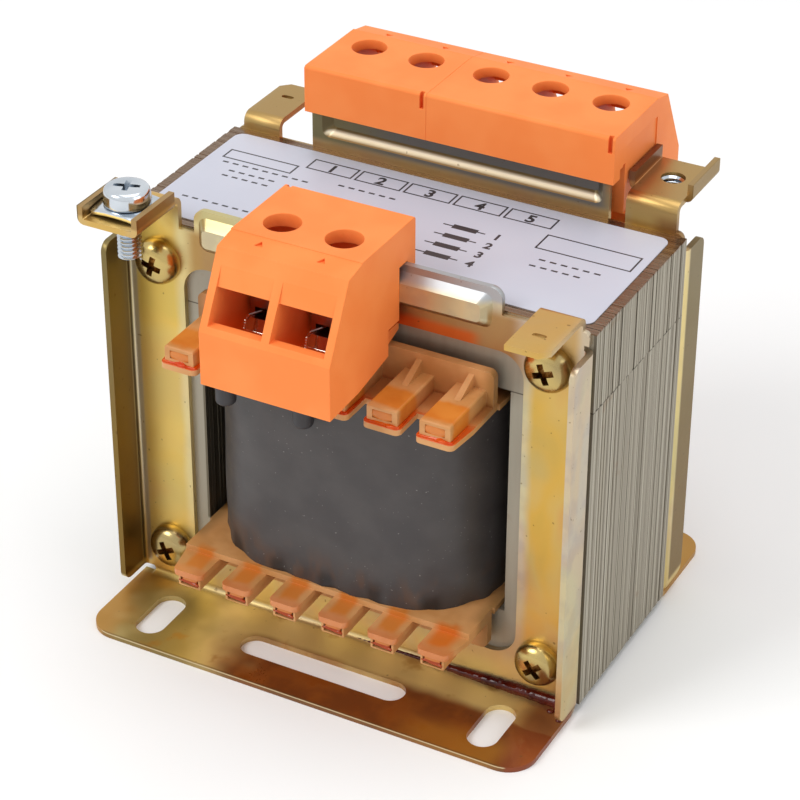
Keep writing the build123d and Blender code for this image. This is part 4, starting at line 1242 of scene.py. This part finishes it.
mesh = bmesh.new()
run(mesh, (-4, bend, 1.2), (14, bend, 1.2), 0.25, 0.5)
run(mesh, (14, bend, 1.2), (26, bend, 1.4), 0.5, 1.05)
run(mesh, (26, bend, 1.4), (40.0, bend, 1.5), 1.05, 1.2)
run(mesh, (40.2, bend - 0.4, 1.3), (40.4, bend - 3.4, 1.2), 0.6, 0.35)
for x, reach, size in DROPS:
    ball(mesh, (x, -HALF_STACK - reach, 1.05), (1.5 * size, size, 0.7 * size))
melt("foot_bend_varnish", mesh, VOXEL)

# %% [markdown]
# ## The edges of the wire leaves
#
# A bent leaf stands in each front wire entry. Its tinned edge catches the light as one thin bright
# line, which the same melted balls draw along the leaf's bends.

# %% Draw the leaves' edges
LEAF_LEFTS = (-8.8, 2.0)
LEAF_BENDS = ((12.0, 67.8), (16.6, 69.3), (17.6, 68.9), (18.2, 67.3))

mesh = bmesh.new()
for left in LEAF_LEFTS:
    path = [(left, -HALF_STACK - reach, z) for reach, z in LEAF_BENDS]
    for start, end in zip(path, path[1:]):
        run(mesh, start, end, 0.3, 0.3)
melt("wire_leaf_edges", mesh, 0.1, "tinned_leaf")

# %% [markdown]
# ## The rear earth tab's thread
#
# The hole in the rear tab is tapped for a second screw. A small triangle is spun round the hole's
# axis and rises by one pitch in each turn, which makes the ridges inside the hole.

# %% Spin the thread
TAPPED_TURNS = 3
RIDGE = ((THREAD_ROOT, 0, 0.35), (2.04, 0, 0.04), (2.04, 0, 0.66))

mesh = bmesh.new()
triangle = [mesh.verts.new(point) for point in RIDGE]
edges = [mesh.edges.new((triangle[index - 1], triangle[index])) for index in range(3)]
bmesh.ops.spin(
    mesh, geom=triangle + edges, cent=(0, 0, 0), axis=(0, 0, 1), angle=FULL_TURN * TAPPED_TURNS,
    steps=THREAD_STEPS * TAPPED_TURNS, dvec=(0, 0, THREAD_PITCH / THREAD_STEPS),
)
bmesh.ops.holes_fill(mesh, edges=[edge for edge in mesh.edges if edge.is_boundary], sides=0)
face_outwards(mesh)
tapped = new_object("rear_earth_thread", mesh)
place(tapped, Matrix.Translation((-EARTH_X, HALF_STACK + EARTH_REACH, EARTH_TAB_TOP - 2.9)))
finish_piece(tapped, "bright_zinc")

# %% [markdown]
# ## Print on the label
#
# The label holds a row of five ruled boxes with plain numbers, one for each rear terminal, four
# small bars numbered the same way, two empty boxes and a few rows of dashes. The rules are thin
# raised strips, because a print of no thickness would flicker against the film. Numbers are text,
# made a mesh before they are put in place.

# %% Rule the boxes
LABEL_TOP = CORE_TOP + 0.12
PRINT_RAISE = 0.015
BOX_COUNT = 5
BOX_LEFT = -23.5
BOX_PITCH = 9.15
BOX_SIZE = (8.6, 3.6)
BOX_FRONT = 9.25
RULE_WIDTH = 0.3
BAR_COUNT = 4
BAR_FRONT = 2.2
BAR_PITCH = 3.25
EMPTY_BOXES = ((-37.8, 6.1, 13.2, 3.2), (22.0, 2.6, 16.6, 5.0))
DASH_ROWS = (
    (-36.8, 4.6, 9), (-34.2, 2.2, 5), (-34.4, 0.3, 5), (-36.3, -9.0, 7), (-15.6, 6.2, 6),
    (24.3, -0.7, 6), (23.7, -3.0, 5),
)
DASH_SIZE = (1.1, 0.42)
DASH_PITCH = 1.9


def strip(mesh, left, front, width, depth):
    """A thin printed bar on the label."""
    made = bmesh.ops.create_cube(mesh, size=1)["verts"]
    bmesh.ops.scale(mesh, vec=(width, depth, 2 * PRINT_RAISE), verts=made)
    move(mesh, (left + width / 2, front + depth / 2, LABEL_TOP), made)


def box_rules(mesh, left, front, width, depth):
    strip(mesh, left, front, width, RULE_WIDTH)
    strip(mesh, left, front + depth - RULE_WIDTH, width, RULE_WIDTH)
    for x in (left, left + width - RULE_WIDTH):
        strip(mesh, x, front + RULE_WIDTH, RULE_WIDTH, depth - 2 * RULE_WIDTH)


mesh = bmesh.new()
box_lefts = [BOX_LEFT + index * BOX_PITCH for index in range(BOX_COUNT)]
for left in box_lefts:
    box_rules(mesh, left, BOX_FRONT, *BOX_SIZE)
for box in EMPTY_BOXES:
    box_rules(mesh, *box)
for row in range(BAR_COUNT):
    front = BAR_FRONT - row * BAR_PITCH
    strip(mesh, 7.4, front, 4.4, 1.3)
    strip(mesh, 5.7, front + 0.5, 1.7, RULE_WIDTH)
    strip(mesh, 11.8, front + 0.5, 1.4, RULE_WIDTH)
for left, front, count in DASH_ROWS:
    for index in range(count):
        strip(mesh, left + index * DASH_PITCH, front, *DASH_SIZE)
to_metres(mesh)
finish_piece(new_object("label_rules", mesh), "print_black")

# %% Set the numbers
def number(text, middle, front, size):
    """A plain number that lies on the label."""
    curve = bpy.data.curves.new("number", "FONT")
    curve.body = text
    curve.size = size
    curve.offset = 0.035 * size
    curve.align_x = "CENTER"
    curve.extrude = PRINT_RAISE
    digit = bpy.data.objects.new("number", curve)
    bpy.context.scene.collection.objects.link(digit)
    bpy.context.view_layer.update()
    graph = bpy.context.evaluated_depsgraph_get()
    shape = bpy.data.meshes.new_from_object(digit.evaluated_get(graph))
    bpy.data.objects.remove(digit)
    flat = bpy.data.objects.new("number", shape)
    bpy.context.scene.collection.objects.link(flat)
    place(flat, Matrix.Translation((middle, front, LABEL_TOP)))
    return flat


numbers = []
for index, left in enumerate(box_lefts):
    numbers.append(number(str(index + 1), left + BOX_SIZE[0] / 2, BOX_FRONT + 0.6, 3.3))
for row in range(BAR_COUNT):
    numbers.append(number(str(row + 1), 15.4, BAR_FRONT - row * BAR_PITCH - 0.3, 2.6))
finish_piece(join_pieces("label_numbers", numbers), "print_black")
